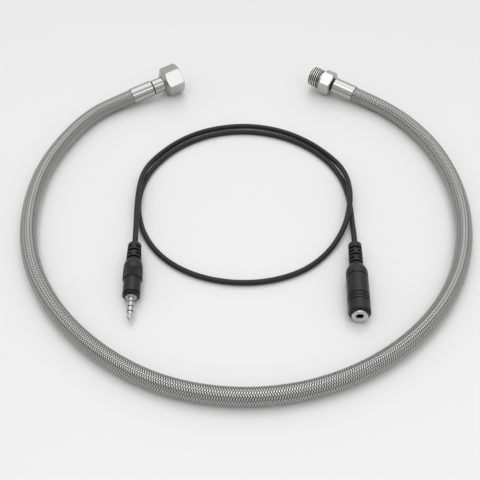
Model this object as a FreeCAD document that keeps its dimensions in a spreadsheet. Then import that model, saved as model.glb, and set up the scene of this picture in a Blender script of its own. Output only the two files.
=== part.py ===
"""Extension set: a braided flexible hose with threaded ends, and a jack extension cable.

Millimetres, +Z up. The set lies on the plane Z = 0: the hose in an open ring, and the cable
in a loop and a half inside it. X runs to the right and Y away from the viewer. The origin is
on the floor, in the middle of the box round the end fittings, the plug and the socket.
Each end is drawn along its own axis: local X starts where the hose or cable goes in, and
runs towards the end's open face.
"""
import FreeCAD, Part
import math
import os
import re
import Sketcher

Vector = FreeCAD.Vector
doc = FreeCAD.newDocument("ExtensionSet")

# Driving sizes: name, millimetres, what it is
SIZES = [
    ("hose_dia", 9.4, "hose over its braid"),
    ("braid_wall", 0.6, "wire braid"),
    ("liner_wall", 1.1, "black inner hose"),
    ("slip", 0.05, "radial gap between pieces pushed or crimped together"),
    ("rim", 0.2, "small edge bevel on turned metal"),
    ("ferrule_len", 14.7, "crimped ferrule"),
    ("ferrule_wall", 0.55, "crimped ferrule"),
    ("stem_start", 1.5, "from the ferrule's hose end to the stem's tail"),
    ("waterway_dia", 4.0, "bore through both nipples"),
    ("barb_pitch", 2.4, "from one barb of a stem to the next"),
    ("barb_depth", 0.25, "barb of a stem"),
    ("thread_dia", 13.157, "G 1/4 thread over its crests"),
    ("thread_core_dia", 11.445, "G 1/4 thread across its roots"),
    ("thread_pitch", 1.337, "G 1/4 thread"),
    ("thread_slack", 0.12, "radial gap at the roots of both threads"),
    ("crest_flat", 0.45, "flat on a thread crest"),
    ("root_flat", 0.2, "flat in a thread root"),
    ("union_gap", 0.7, "between the union's ferrule and its neck"),
    ("neck_dia", 9.7, "smooth neck that the union nut slides on"),
    ("neck_len", 7.3, "neck that shows behind the nut"),
    ("flange_dia", 11.0, "collar that the nut pulls on"),
    ("flange_len", 1.8, "collar that the nut pulls on"),
    ("flange_play", 0.1, "between the nut's back wall and the collar"),
    ("gasket_len", 1.5, "flat washer in the nut"),
    ("gasket_bore_dia", 6.2, "flat washer in the nut"),
    ("nut_flats", 17.0, "union nut across its flats"),
    ("nut_len", 12.6, "union nut"),
    ("nut_back_wall", 3.4, "union nut behind its thread relief"),
    ("nut_thread_len", 5.4, "thread in the union nut"),
    ("nut_back_dia", 11.8, "flat back face of the union nut"),
    ("nut_cone_len", 2.4, "cone behind the nut's flats, at a corner"),
    ("nut_front_dia", 17.6, "flat front face of the union nut, cut by its flats"),
    ("nut_front_bevel", 0.9, "bevel in front of the nut's flats, at a corner"),
    ("nut_neck_gap", 0.25, "radial gap between the nut's back wall and the neck"),
    ("relief_dia", 13.5, "thread relief in the union nut"),
    ("guide_start", 0.8, "from the nut's back face to its guide ring"),
    ("guide_len", 1.5, "guide ring in the nut"),
    ("guide_wall", 0.6, "guide ring in the nut"),
    ("guide_slit", 1.5, "slit of the guide ring"),
    ("male_gap", 1.2, "between the male ferrule and its hexagon"),
    ("hex_flats", 14.0, "male hexagon across its flats"),
    ("hex_len", 7.8, "male hexagon"),
    ("hex_face_dia", 12.6, "flat faces of the male hexagon"),
    ("hex_back_bevel", 1.0, "bevel on the hose side of the hexagon, at a corner"),
    ("hex_front_bevel", 0.6, "bevel on the thread side of the hexagon, at a corner"),
    ("male_relief_len", 1.2, "thread relief beside the hexagon"),
    ("male_thread_len", 7.4, "male thread"),
    ("seat_dia", 6.6, "mouth of the sealing cone in the male end"),
    ("seat_len", 1.4, "sealing cone in the male end"),
    ("cord_dia", 3.1, "black extension cable"),
    ("core_dia", 2.0, "bundle of insulated wires in the cable"),
    ("pin_dia", 3.5, "plug shaft"),
    ("pin_shank_dia", 4.0, "plug sleeve behind its flange"),
    ("pin_sleeve_len", 2.5, "plug sleeve in front of its flange"),
    ("pin_ring_len", 2.4, "each ring contact that shows"),
    ("pin_insulator_len", 0.65, "each insulator that shows"),
    ("pin_tip_len", 4.75, "tip contact that shows"),
    ("pin_neck_len", 0.4, "straight stretch at the back of the tip"),
    ("pin_waist_dia", 2.4, "waist of the tip"),
    ("pin_waist_at", 1.4, "from the back of the tip to its waist"),
    ("pin_ball_at", 3.0, "from the back of the tip to its widest place"),
    ("pin_ball_dia", 3.2, "widest place of the tip"),
    ("pin_nose_dia", 1.1, "flat end of the tip"),
    ("tip_rod_dia", 0.9, "rod behind the tip"),
    ("tube_wall", 0.18, "each contact or insulator tube behind the tip"),
    ("fit_gap", 0.02, "between moulded pieces and what they hold"),
    ("tail_len", 11.4, "tip contact's rod behind the flange"),
    ("tail_step", 1.5, "each tube's tail in front of the one inside it"),
    ("pin_flange_dia", 5.8, "bright flange of the plug sleeve"),
    ("pin_flange_len", 0.5, "bright flange of the plug sleeve"),
    ("boot_back_dia", 7.25, "boots where the cable goes in"),
    ("boot_round", 1.0, "rounded back edge of a boot"),
    ("plug_boot_dia", 8.3, "plug boot where it meets the shell"),
    ("plug_boot_len", 12.3, "plug boot that shows"),
    ("plug_slot_first", 2.8, "from the plug boot's back to its first slot"),
    ("jack_boot_dia", 7.6, "socket boot where it meets the shell"),
    ("jack_boot_len", 16.4, "socket boot that shows"),
    ("jack_slot_first", 3.85, "from the socket boot's back to its first slot"),
    ("slot_pitch", 2.56, "from one slot of a boot to the next"),
    ("slot_len", 1.2, "slot of a boot"),
    ("slot_margin", 0.5, "least wall between a boot's last slot and its shell"),
    ("slot_floor_dia", 4.9, "floor of a boot's slots"),
    ("slot_angle", 138.0, "how far a slot reaches round the boot, in degrees"),
    ("boot_neck_dia", 5.8, "boot in the hole of its shell"),
    ("boot_lip_len", 1.5, "boot's flange inside its shell"),
    ("shell_back_wall", 1.8, "wall of a shell behind its bore"),
    ("plug_back_dia", 8.5, "back edge of the plug shell"),
    ("plug_swell_at", 1.7, "from the plug shell's back to where its shoulder flattens"),
    ("plug_swell_dia", 9.5, "plug shell where its shoulder flattens"),
    ("plug_band_dia", 10.4, "grip band of the plug"),
    ("plug_band_len", 8.9, "grip band of the plug"),
    ("plug_shoulder_len", 3.7, "shoulder of the plug shell"),
    ("plug_barrel_dia", 9.3, "plug shell in front of its band"),
    ("plug_barrel_len", 9.3, "plug shell in front of its band"),
    ("plug_bore_dia", 7.6, "bore of the plug shell"),
    ("plug_front_wall", 2.4, "front wall of the plug shell"),
    ("plug_groove_len", 0.7, "groove of the plug shell"),
    ("plug_groove_dia", 8.0, "floor of the plug shell's groove"),
    ("plug_collar_len", 0.4, "collar in front of the groove"),
    ("plug_nose_len", 0.8, "bevel at the front of the plug shell"),
    ("plug_nose_dia", 6.6, "front face of the plug shell"),
    ("clamp_gap", 0.7, "from a boot's flange to the clamp"),
    ("clamp_len", 3.0, "crimped clamp on the cable"),
    ("clamp_wall", 0.35, "crimped clamp on the cable"),
    ("strip_len", 1.2, "wires bared between a clamp and the moulding in front"),
    ("jack_back_dia", 8.4, "back edge of the socket shell"),
    ("jack_swell_at", 1.6, "from the socket shell's back to the first bend of its shoulder"),
    ("jack_swell_dia", 10.0, "socket shell at the first bend of its shoulder"),
    ("jack_crown_at", 3.3, "from the socket shell's back to the second bend"),
    ("jack_crown_dia", 11.3, "socket shell at the second bend of its shoulder"),
    ("jack_shoulder_len", 4.4, "shoulder of the socket shell"),
    ("jack_dia", 11.7, "socket shell"),
    ("jack_barrel_len", 27.1, "socket shell in front of its shoulder"),
    ("jack_bore_dia", 9.0, "bore of the socket shell"),
    ("jack_front_wall", 1.9, "front wall of the socket shell"),
    ("jack_edge", 0.8, "bevel at the front of the socket shell"),
    ("jack_groove_len", 0.7, "each groove of the socket shell"),
    ("jack_groove_depth", 0.35, "each groove of the socket shell"),
    ("jack_back_groove", 3.85, "from the shoulder to the rear groove"),
    ("jack_front_groove", 6.6, "from the shell's front to the nearest groove"),
    ("jack_groove_pitch", 2.08, "between the front grooves"),
    ("bush_face_dia", 8.4, "bright bush, its face"),
    ("bush_stand_len", 1.5, "bright bush, how far it stands out"),
    ("bush_round", 0.5, "edge of the bright bush"),
    ("bush_shank_dia", 7.0, "bright bush in the shell"),
    ("bush_bore_dia", 3.6, "bright bush, bore for the plug"),
    ("bush_sink_dia", 4.8, "lead-in of the bush"),
    ("bush_sink_len", 0.6, "lead-in of the bush"),
    ("bush_wall_len", 2.5, "straight bore of the bush"),
    ("channel_dia", 4.2, "channel for the plug in the insert"),
    ("channel_len", 11.6, "from the bush's back to the end of the channel"),
    ("jack_mould_len", 2.0, "moulding that holds the wires in the socket"),
    ("leaf_thick", 0.3, "contact leaf"),
    ("leaf_width", 1.2, "contact leaf"),
    ("leaf_height", 2.3, "inner side of a leaf, from the socket's axis"),
    ("leaf_root", 1.0, "from the insert's back to where a leaf bends"),
    ("leaf_tail", 1.4, "solder tail of a leaf behind the insert"),
    ("tail_gap", 0.4, "from the wire moulding to the tails of the leaves"),
    ("leaf_dip", 0.8, "how far a leaf's nose dips into the channel"),
    ("leaf_nose", 0.9, "half the length of a leaf's nose"),
    ("leaf_gap", 0.1, "gap round a leaf at its root"),
    ("leaf_side_gap", 0.2, "gap at each side of a leaf"),
    ("leaf_end_gap", 0.25, "gap in front of a leaf"),
    ("leaf_room", 0.7, "room outside a leaf, for it to spring away"),
    ("tip_nose_at", 10.8, "from the bush's face to the tip leaf's nose"),
    ("ring_1_nose_at", 7.5, "from the bush's face to the first ring leaf's nose"),
    ("ring_2_nose_at", 4.9, "from the bush's face to the second ring leaf's nose"),
]

# The hose's route from the union's ferrule to the male ferrule: corners of its straight runs
HOSE_ROUTE = [
    (-74.0, 80.9, 6.2), (-84.7, 75.1, 4.7), (-97.6, 63.6, 4.7), (-110.5, 41.5, 4.7),
    (-121.2, 9.6, 4.7), (-123.2, -26.4, 4.7), (-117.0, -61.9, 4.7), (-101.2, -94.4, 4.7),
    (-76.7, -122.4, 4.7), (-45.2, -143.2, 4.7), (-9.7, -152.1, 4.7), (27.3, -149.4, 4.7),
    (62.3, -134.9, 4.7), (91.6, -110.9, 4.7), (112.8, -79.4, 4.7), (123.8, -43.9, 4.7),
    (125.8, -7.9, 4.7), (119.8, 25.1, 4.7), (109.3, 48.6, 4.7), (96.6, 66.2, 4.7),
    (84.4, 77.2, 4.9), (73.8, 83.7, 6.25),
]

# The cable's route from the plug's boot to the socket's boot. It rises over itself twice.
CORD_ROUTE = [
    (-59.62, -55.17, 6.28), (-60.03, -43.2, 6.78), (-61.2, -25.4, 6.0), (-61.6, -7.4, 5.8),
    (-59.9, 9.1, 4.6), (-53.1, 26.1, 1.6), (-40.2, 41.1, 1.6), (-22.7, 51.9, 1.6),
    (0.3, 56.4, 1.6), (22.3, 51.8, 1.6), (40.1, 40.6, 1.6), (53.1, 26.1, 1.6),
    (60.3, 9.6, 4.5), (62.5, -7.4, 5.8), (60.9, -24.4, 5.8), (56.1, -40.9, 3.6),
    (46.5, -56.9, 1.6), (32.6, -70.2, 1.6), (13.8, -77.8, 1.6), (-6.7, -78.9, 1.6),
    (-26.5, -73.7, 1.6), (-43.0, -62.6, 1.6), (-54.3, -47.2, 1.6), (-60.3, -29.4, 1.6),
    (-61.7, -10.4, 1.6), (-58.2, 7.6, 1.6), (-49.3, 24.1, 1.6), (-35.9, 38.0, 1.6),
    (-18.3, 47.4, 1.6), (0.8, 50.1, 1.6), (20.1, 46.4, 1.6), (37.3, 36.8, 1.6),
    (50.6, 22.6, 1.6), (58.6, 6.6, 1.6), (61.7, -10.4, 1.6), (61.8, -25.4, 1.6),
    (61.4, -36.9, 2.6), (60.92, -46.5, 5.85), (60.53, -54.8, 5.85),
]
# Each arc of a route takes up this share of the shorter run beside it
ARC_SHARE = 0.45

# Shares of a hexagon's width across its flats: a hair outside its corners, and well outside
HEX_CORNER = 0.5774
HEX_BEYOND = 0.67

# Each end's frame: the route's point where the hose or cable goes in, the point before it,
# and the end's turn about its own axis, in degrees
UNION_END = (HOSE_ROUTE[0], HOSE_ROUTE[1], 19.0)
MALE_END = (HOSE_ROUTE[-1], HOSE_ROUTE[-2], -8.0)
PLUG_END = (CORD_ROUTE[0], CORD_ROUTE[1], 0.0)
JACK_END = (CORD_ROUTE[-1], CORD_ROUTE[-2], 0.0)

# Compass of the three contact leaves round the socket's axis, in degrees
LEAF_TURNS = {"jack_tip_spring": 0.0, "jack_ring_1_spring": 120.0, "jack_ring_2_spring": 240.0}

sheet = doc.addObject("Spreadsheet::Sheet", "Sizes")
for row, (name, value, note) in enumerate(SIZES, start=1):
    sheet.set(f"A{row}", name)
    sheet.set(f"B{row}", str(value))
    sheet.set(f"C{row}", note)
    sheet.setAlias(f"B{row}", name)
doc.recompute()

# A size's name in a formula; the only other word there is sqrt
SIZE_NAME = re.compile(r"\b(?!sqrt\b)[a-z][a-z_0-9]*[a-z0-9]")


def bound(formula):
    """Return the formula with each size's name pointing at the sheet."""
    return SIZE_NAME.sub(lambda found: "Sizes." + found.group(), formula)


def value_of(formula):
    """Return what a formula on the sizes comes to, in millimetres or degrees."""
    return float(doc.getObject("Sizes").evalExpression(formula))


def plus(*terms):
    """Return the sum of several formulas as one formula."""
    return " + ".join(terms)


def placement(end):
    """Return the placement of an end's local frame: its X axis goes on along the route."""
    at, before, turn = end
    way = Vector(*at) - Vector(*before)
    compass = math.degrees(math.atan2(way.y, way.x))
    rise = math.degrees(math.atan2(way.z, math.hypot(way.x, way.y)))
    return FreeCAD.Placement(Vector(*at), FreeCAD.Rotation(compass, -rise, turn))


def new_body(label, end):
    """Return an empty body that lies in an end's frame."""
    body = doc.addObject("PartDesign::Body", label)
    body.Label = label
    body.Placement = placement(end)
    return body


def plane_of(body, role):
    """Return one of a body's own origin planes or axes by its role."""
    return next(item for item in body.Origin.OriginFeatures if item.Role == role)


def outline_sketch(body, name, role, outlines):
    """Return a sketch of closed outlines on one of a body's planes.

    Each outline is a list of corners, and a corner is a pair of formulas on the sizes.
    """
    sketch = body.newObject("Sketcher::SketchObject", name)
    sketch.AttachmentSupport = [(plane_of(body, role), "")]
    sketch.MapMode = "FlatFace"
    for outline in outlines:
        first = sketch.GeometryCount
        count = len(outline)
        spots = [Vector(value_of(across), value_of(up), 0) for across, up in outline]
        edges = [Part.LineSegment(spots[k], spots[(k + 1) % count]) for k in range(count)]
        sketch.addGeometry(edges, False)
        for k, corner in enumerate(outline):
            joint = Sketcher.Constraint("Coincident", first + k, 2, first + (k + 1) % count, 1)
            sketch.addConstraint(joint)
            for kind, formula in zip(("DistanceX", "DistanceY"), corner):
                rule = Sketcher.Constraint(kind, -1, 1, first + k, 1, value_of(formula))
                number = sketch.addConstraint(rule)
                sketch.setExpression(f"Constraints[{number}]", bound(formula))
    return sketch


def turn_outline(body, outlines, cut=False):
    """Turn outlines of (along, radius) corners about the body's X axis, to add or to cut."""
    word = "cut" if cut else "turned"
    sketch = outline_sketch(body, f"{body.Name}_{word}_outline", "XZ_Plane", outlines)
    kind = "PartDesign::Groove" if cut else "PartDesign::Revolution"
    feature = body.newObject(kind, f"{body.Name}_{word}")
    feature.Profile = sketch
    feature.ReferenceAxis = (sketch, ["H_Axis"])
    feature.Angle = 360
    return feature


def turned_piece(label, end, outline):
    """Return a body turned from one outline of (along, radius) corners."""
    body = new_body(label, end)
    turn_outline(body, [outline])
    return body


def tube_outline(start, stop, inner, outer):
    """Return the outline of a plain tube between two places and two radii."""
    return [(start, inner), (stop, inner), (stop, outer), (start, outer)]


def add_hexagon(body, flats, start, length):
    """Add a hexagonal bar across the body's X axis, with one corner straight down."""
    sketch = body.newObject("Sketcher::SketchObject", f"{body.Name}_hexagon")
    sketch.AttachmentSupport = [(plane_of(body, "YZ_Plane"), "")]
    sketch.MapMode = "FlatFace"
    sketch.AttachmentOffset = FreeCAD.Placement(Vector(0, 0, value_of(start)), FreeCAD.Rotation())
    sketch.setExpression("AttachmentOffset.Base.z", bound(start))
    corner = f"{flats} / sqrt(3)"
    reach = value_of(corner)
    angles = [math.radians(30 + 60 * k) for k in range(6)]
    spots = [Vector(reach * math.cos(angle), reach * math.sin(angle), 0) for angle in angles]
    sketch.addGeometry([Part.LineSegment(spots[k], spots[(k + 1) % 6]) for k in range(6)], False)
    circle = sketch.addGeometry(Part.Circle(Vector(0, 0, 0), Vector(0, 0, 1), reach), True)
    sketch.addConstraint(Sketcher.Constraint("Coincident", circle, 3, -1, 1))
    for k in range(6):
        sketch.addConstraint(Sketcher.Constraint("Coincident", k, 2, (k + 1) % 6, 1))
        sketch.addConstraint(Sketcher.Constraint("PointOnObject", k, 1, circle))
    for k in range(5):
        sketch.addConstraint(Sketcher.Constraint("Equal", k, k + 1))
    sketch.addConstraint(Sketcher.Constraint("Vertical", 5))
    number = sketch.addConstraint(Sketcher.Constraint("Radius", circle, reach))
    sketch.setExpression(f"Constraints[{number}]", bound(corner))
    pad = body.newObject("PartDesign::Pad", f"{body.Name}_bar")
    pad.Profile = sketch
    pad.Length = value_of(length)
    pad.setExpression("Length", bound(length))
    return pad


def corner_bevel(face_at, face_dia, flat_at, flats):
    """Return the outline that bevels a hexagon's corners from its face to its full corners."""
    corner = f"{flats} * {HEX_CORNER}"
    beyond = f"{flats} * {HEX_BEYOND}"
    return [(face_at, f"{face_dia} / 2"), (flat_at, corner), (flat_at, beyond), (face_at, beyond)]


def thread_outline(start, length, base, outer_side):
    """Return the outline of a thread's crests, as rings, from a place and over a length.

    An outer thread stands on the radius base; an inner one hangs from it. Only whole turns
    of the thread that fit into the length are drawn.
    """
    turns = round(value_of(length) / value_of("thread_pitch"), 3)
    flank = "(thread_pitch - crest_flat - root_flat) / 2"
    top = "thread_dia / 2" if outer_side else "thread_core_dia / 2"
    rings = []
    for k in range(int(turns)):
        root = plus(start, f"{k} * thread_pitch", "root_flat / 2")
        crest = plus(root, flank)
        rings += [(root, base), (crest, top), (plus(crest, "crest_flat"), top)]
        rings += [(plus(root, "thread_pitch - root_flat"), base)]
    return rings


def arcs_and_runs(points, lead_in, lead_out):
    """Return a wire of straight runs joined by tangent arcs, and the arcs' radii.

    The first and last runs are drawn out by the two leads, which lie inside the ends.
    """
    spots = [Vector(*point) for point in points]
    first_way = (spots[0] - spots[1]).normalize()
    last_way = (spots[-1] - spots[-2]).normalize()
    here = spots[0] + first_way * lead_in
    edges = []
    radii = []
    for before, corner, after in zip(spots, spots[1:], spots[2:]):
        way_in = (corner - before).normalize()
        way_out = (after - corner).normalize()
        turn = way_in.getAngle(way_out)
        reach = ARC_SHARE * min((corner - before).Length, (after - corner).Length)
        radius = reach / math.tan(turn / 2)
        radii.append(radius)
        arc_start = corner - way_in * reach
        arc_end = corner + way_out * reach
        to_middle = (way_out - way_in).normalize()
        middle = corner + to_middle * (radius / math.cos(turn / 2) - radius)
        edges.append(Part.LineSegment(here, arc_start).toShape())
        edges.append(Part.Arc(arc_start, middle, arc_end).toShape())
        here = arc_end
    edges.append(Part.LineSegment(here, spots[-1] + last_way * lead_out).toShape())
    return Part.Wire(edges), radii


def round_face(radius, middle, way):
    """Return a round face across a direction."""
    return Part.Face(Part.Wire(Part.makeCircle(radius, middle, way)))


def swept_tube(label, route, lead_in, lead_out, outer, inner=None):
    """Return a tube, or a solid cord where there is no inner radius, along a route."""
    path, radii = arcs_and_runs(route, value_of(lead_in), value_of(lead_out))
    start = path.OrderedVertexes[0].Point
    way = path.OrderedVertexes[1].Point - start
    section = round_face(value_of(outer), start, way)
    if inner:
        section = section.cut(round_face(value_of(inner), start, way)).Faces[0]
    shape = path.makePipe(section)
    feature = doc.addObject("Part::Feature", label)
    feature.Label = label
    feature.Shape = shape if shape.ShapeType == "Solid" else shape.Solids[0]
    print(f"{label}: {path.Length:.1f} mm long, arcs from {min(radii):.1f} mm, "
          f"volume {feature.Shape.Volume / section.Area / path.Length:.4f} of section by length")
    return feature


# Radii and places that several pieces share
HOSE_R = "hose_dia / 2"
BRAID_IN = f"{HOSE_R} - braid_wall"
LINER_OUT = f"{BRAID_IN} - slip"
LINER_IN = f"{LINER_OUT} - liner_wall"
STEM_R = f"{LINER_IN} - slip"
WATER_R = "waterway_dia / 2"
NECK_R = "neck_dia / 2"
FERRULE_IN = f"{HOSE_R} + slip"
FERRULE_OUT = f"{FERRULE_IN} + ferrule_wall"

# Union end, along its axis from the ferrule's hose side
NECK_START = "ferrule_len + union_gap"
NUT_BACK = plus(NECK_START, "neck_len")
NUT_FRONT = plus(NUT_BACK, "nut_len")
NUT_SHOULDER = plus(NUT_BACK, "nut_back_wall")
FLANGE_BACK = plus(NUT_SHOULDER, "flange_play")
FLANGE_FRONT = plus(FLANGE_BACK, "flange_len")
NUT_THREAD = f"{NUT_FRONT} - nut_thread_len"
GUIDE_BACK = plus(NUT_BACK, "guide_start")
GUIDE_IN = f"{NECK_R} + slip"
GUIDE_OUT = f"{GUIDE_IN} + guide_wall"

# Male end, along its axis from the ferrule's hose side
HEX_BACK = "ferrule_len + male_gap"
HEX_FRONT = plus(HEX_BACK, "hex_len")
MALE_THREAD = plus(HEX_FRONT, "male_relief_len")
MALE_FRONT = plus(MALE_THREAD, "male_thread_len")
MALE_ROOT_R = "thread_core_dia / 2 - thread_slack"


def stem_outline(stop):
    """Return the outside of a barbed stem, from its tail to where the nipple widens."""
    count = int((value_of("ferrule_len") - value_of("stem_start")) / value_of("barb_pitch"))
    corners = [("stem_start", f"{STEM_R} - barb_depth")]
    for k in range(1, count + 1):
        along = f"stem_start + {k} * barb_pitch"
        corners.append((along, STEM_R))
        corners.append((along, f"{STEM_R} - barb_depth"))
    corners.append((stop, f"{STEM_R} - barb_depth"))
    return corners


def make_ferrule(label, end):
    """Make a crimped ferrule that holds the braid on a stem."""
    outline = [
        ("0", FERRULE_IN), ("ferrule_len", FERRULE_IN),
        ("ferrule_len", f"{FERRULE_OUT} - rim"), ("ferrule_len - rim", FERRULE_OUT),
        ("rim", FERRULE_OUT), ("0", f"{FERRULE_OUT} - rim"),
    ]
    return turned_piece(label, end, outline)


def make_union_nipple():
    """Make the barbed nipple whose neck and collar carry the union nut."""
    outline = stem_outline(NECK_START) + [
        (NECK_START, f"{NECK_R} - rim"), (plus(NECK_START, "rim"), NECK_R),
        (FLANGE_BACK, NECK_R), (FLANGE_BACK, "flange_dia / 2"),
        (FLANGE_FRONT, "flange_dia / 2"), (FLANGE_FRONT, WATER_R), ("stem_start", WATER_R),
    ]
    return turned_piece("union_nipple", UNION_END, outline)


def make_guide_ring():
    """Make the split ring that rides in the nut and slides on the neck."""
    stop = plus(GUIDE_BACK, "guide_len")
    ring = tube_outline(GUIDE_BACK, stop, GUIDE_IN, GUIDE_OUT)
    body = turned_piece("nut_guide_ring", UNION_END, ring)
    slit = [("-guide_slit / 2", "0"), ("guide_slit / 2", "0"),
            ("guide_slit / 2", "neck_dia"), ("-guide_slit / 2", "neck_dia")]
    sketch = outline_sketch(body, "nut_guide_ring_slit_outline", "YZ_Plane", [slit])
    pocket = body.newObject("PartDesign::Pocket", "nut_guide_ring_slit")
    pocket.Profile = sketch
    pocket.Reversed = True
    pocket.Length = value_of(NUT_FRONT)
    pocket.setExpression("Length", bound(NUT_FRONT))
    return body


def make_union_nut():
    """Make the hexagonal union nut, with its cone, bevel, thread and the guide ring's groove."""
    body = new_body("union_nut", UNION_END)
    add_hexagon(body, "nut_flats", NUT_BACK, "nut_len")
    back = corner_bevel(NUT_BACK, "nut_back_dia", plus(NUT_BACK, "nut_cone_len"), "nut_flats")
    front = corner_bevel(NUT_FRONT, "nut_front_dia", f"{NUT_FRONT} - nut_front_bevel", "nut_flats")
    turn_outline(body, [back, front], cut=True)
    hole_r = f"{NECK_R} + nut_neck_gap"
    groove_r = f"{GUIDE_OUT} + slip"
    groove_stop = plus(GUIDE_BACK, "guide_len", "slip")
    mouth = plus("thread_dia / 2", "rim")
    bore = [
        (NUT_BACK, "0"), (NUT_BACK, hole_r), (f"{GUIDE_BACK} - slip", hole_r),
        (f"{GUIDE_BACK} - slip", groove_r), (groove_stop, groove_r), (groove_stop, hole_r),
        (NUT_SHOULDER, hole_r), (NUT_SHOULDER, "relief_dia / 2"), (NUT_THREAD, "relief_dia / 2"),
    ]
    root_r = plus("thread_dia / 2", "thread_slack / 2")
    bore += thread_outline(NUT_THREAD, "nut_thread_len", root_r, False)
    bore += [(NUT_FRONT, mouth), (NUT_FRONT, "0")]
    sketch = outline_sketch(body, "union_nut_bore_outline", "XZ_Plane", [bore])
    groove = body.newObject("PartDesign::Groove", "union_nut_bore")
    groove.Profile = sketch
    groove.ReferenceAxis = (sketch, ["H_Axis"])
    groove.Angle = 360
    return body


def make_male_nipple():
    """Make the barbed nipple with a hexagon and an outer thread."""
    body = new_body("male_nipple", MALE_END)
    outline = stem_outline(HEX_BACK) + [(HEX_BACK, MALE_ROOT_R), (MALE_THREAD, MALE_ROOT_R)]
    outline += thread_outline(MALE_THREAD, "male_thread_len", MALE_ROOT_R, True)
    outline += [(f"{MALE_FRONT} - rim", MALE_ROOT_R), (MALE_FRONT, f"{MALE_ROOT_R} - rim")]
    outline += [(MALE_FRONT, "seat_dia / 2"), (f"{MALE_FRONT} - seat_len", WATER_R)]
    outline += [("stem_start", WATER_R)]
    turn_outline(body, [outline])
    add_hexagon(body, "hex_flats", HEX_BACK, "hex_len")
    back = corner_bevel(HEX_BACK, "hex_face_dia", plus(HEX_BACK, "hex_back_bevel"), "hex_flats")
    front = corner_bevel(HEX_FRONT, "hex_face_dia", f"{HEX_FRONT} - hex_front_bevel", "hex_flats")
    bore = tube_outline("stem_start", MALE_FRONT, "0", WATER_R)
    turn_outline(body, [back, front, bore], cut=True)
    return body


def make_hose_and_ends():
    """Make the hose with its two crimped ends and the union nut."""
    swept_tube("hose_liner", HOSE_ROUTE, NECK_START, HEX_BACK, LINER_OUT, LINER_IN)
    swept_tube("hose_braid", HOSE_ROUTE, "ferrule_len", "ferrule_len", HOSE_R, BRAID_IN)
    make_ferrule("union_ferrule", UNION_END)
    make_union_nipple()
    gasket_stop = plus(FLANGE_FRONT, "gasket_len")
    gasket = tube_outline(FLANGE_FRONT, gasket_stop, "gasket_bore_dia / 2", "flange_dia / 2")
    turned_piece("union_gasket", UNION_END, gasket)
    make_guide_ring()
    make_union_nut()
    make_ferrule("male_ferrule", MALE_END)
    make_male_nipple()


# Cable and its two ends, along each end's axis from the back of its boot
CORD_R = "cord_dia / 2"
CORE_R = "core_dia / 2"
CORD_HOLE = f"{CORD_R} + slip"
BOOT_NECK_R = "boot_neck_dia / 2"

PLUG_LIP = "plug_boot_len + shell_back_wall"
PLUG_CLAMP = plus(PLUG_LIP, "boot_lip_len", "clamp_gap")
PLUG_MOULD = plus(PLUG_CLAMP, "clamp_len", "strip_len")
PLUG_SWELL = "plug_boot_len + plug_swell_at"
PLUG_BAND = "plug_boot_len + plug_shoulder_len"
PLUG_BARREL = plus(PLUG_BAND, "plug_band_len")
PLUG_GROOVE = plus(PLUG_BARREL, "plug_barrel_len")
PLUG_COLLAR = plus(PLUG_GROOVE, "plug_groove_len")
PLUG_NOSE = plus(PLUG_COLLAR, "plug_collar_len")
PLUG_FRONT = plus(PLUG_NOSE, "plug_nose_len")
FLANGE_FACE = plus(PLUG_FRONT, "pin_flange_len")
PIN_TAIL = f"{FLANGE_FACE} - tail_len"
PIN_R = "pin_dia / 2"
SHANK_R = "pin_shank_dia / 2"

JACK_LIP = "jack_boot_len + shell_back_wall"
JACK_CLAMP = plus(JACK_LIP, "boot_lip_len", "clamp_gap")
JACK_MOULD = plus(JACK_CLAMP, "clamp_len", "strip_len")
JACK_SWELL = "jack_boot_len + jack_swell_at"
JACK_CROWN = "jack_boot_len + jack_crown_at"
JACK_BARREL = "jack_boot_len + jack_shoulder_len"
JACK_FRONT = plus(JACK_BARREL, "jack_barrel_len", "jack_edge")
BUSH_FACE = plus(JACK_FRONT, "bush_stand_len")
BUSH_BACK = f"{BUSH_FACE} - bush_sink_len - bush_wall_len"
INSERT_BACK = plus(JACK_MOULD, "jack_mould_len", "tail_gap", "leaf_tail")
INSERT_FRONT = f"{JACK_FRONT} - jack_front_wall"
BUSH_SHANK_R = "bush_shank_dia / 2"
CHANNEL_END = f"{BUSH_BACK} - channel_len"
LEAF_PIVOT = plus(INSERT_BACK, "leaf_root")


# Planes of a boot's first and second pairs of slots: above and below it, and at its sides
TOP_FIRST = ("XZ_Plane", "XY_Plane")
SIDES_FIRST = ("XY_Plane", "XZ_Plane")


def cut_slots(body, visible_len, first, roles):
    """Cut a boot's slots in pairs: by turns above and below it, and at its two sides.

    The first slot starts at the place given. The roles are those of the planes that the
    first and second pairs are drawn on.
    """
    room = value_of(f"{visible_len} - {first} - slot_len - slot_margin")
    count = int(room / value_of("slot_pitch")) + 1
    for turn, role in enumerate(roles):
        slots = []
        for k in range(turn, count, 2):
            start = f"{first} + {k} * slot_pitch"
            stop = plus(start, "slot_len")
            slots.append(tube_outline(start, stop, "slot_floor_dia / 2", "plug_band_dia"))
        name = f"{body.Name}_slots_{turn}"
        sketch = outline_sketch(body, f"{name}_outline", role, slots)
        groove = body.newObject("PartDesign::Groove", name)
        groove.Profile = sketch
        groove.ReferenceAxis = (sketch, ["H_Axis"])
        groove.Midplane = True
        groove.Angle = value_of("slot_angle")
        groove.setExpression("Angle", bound("slot_angle"))
        pattern = body.newObject("PartDesign::PolarPattern", f"{name}_pair")
        pattern.Originals = [groove]
        pattern.Axis = (plane_of(body, "X_Axis"), [""])
        pattern.Angle = 360
        pattern.Occurrences = 2
        body.Tip = pattern


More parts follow.
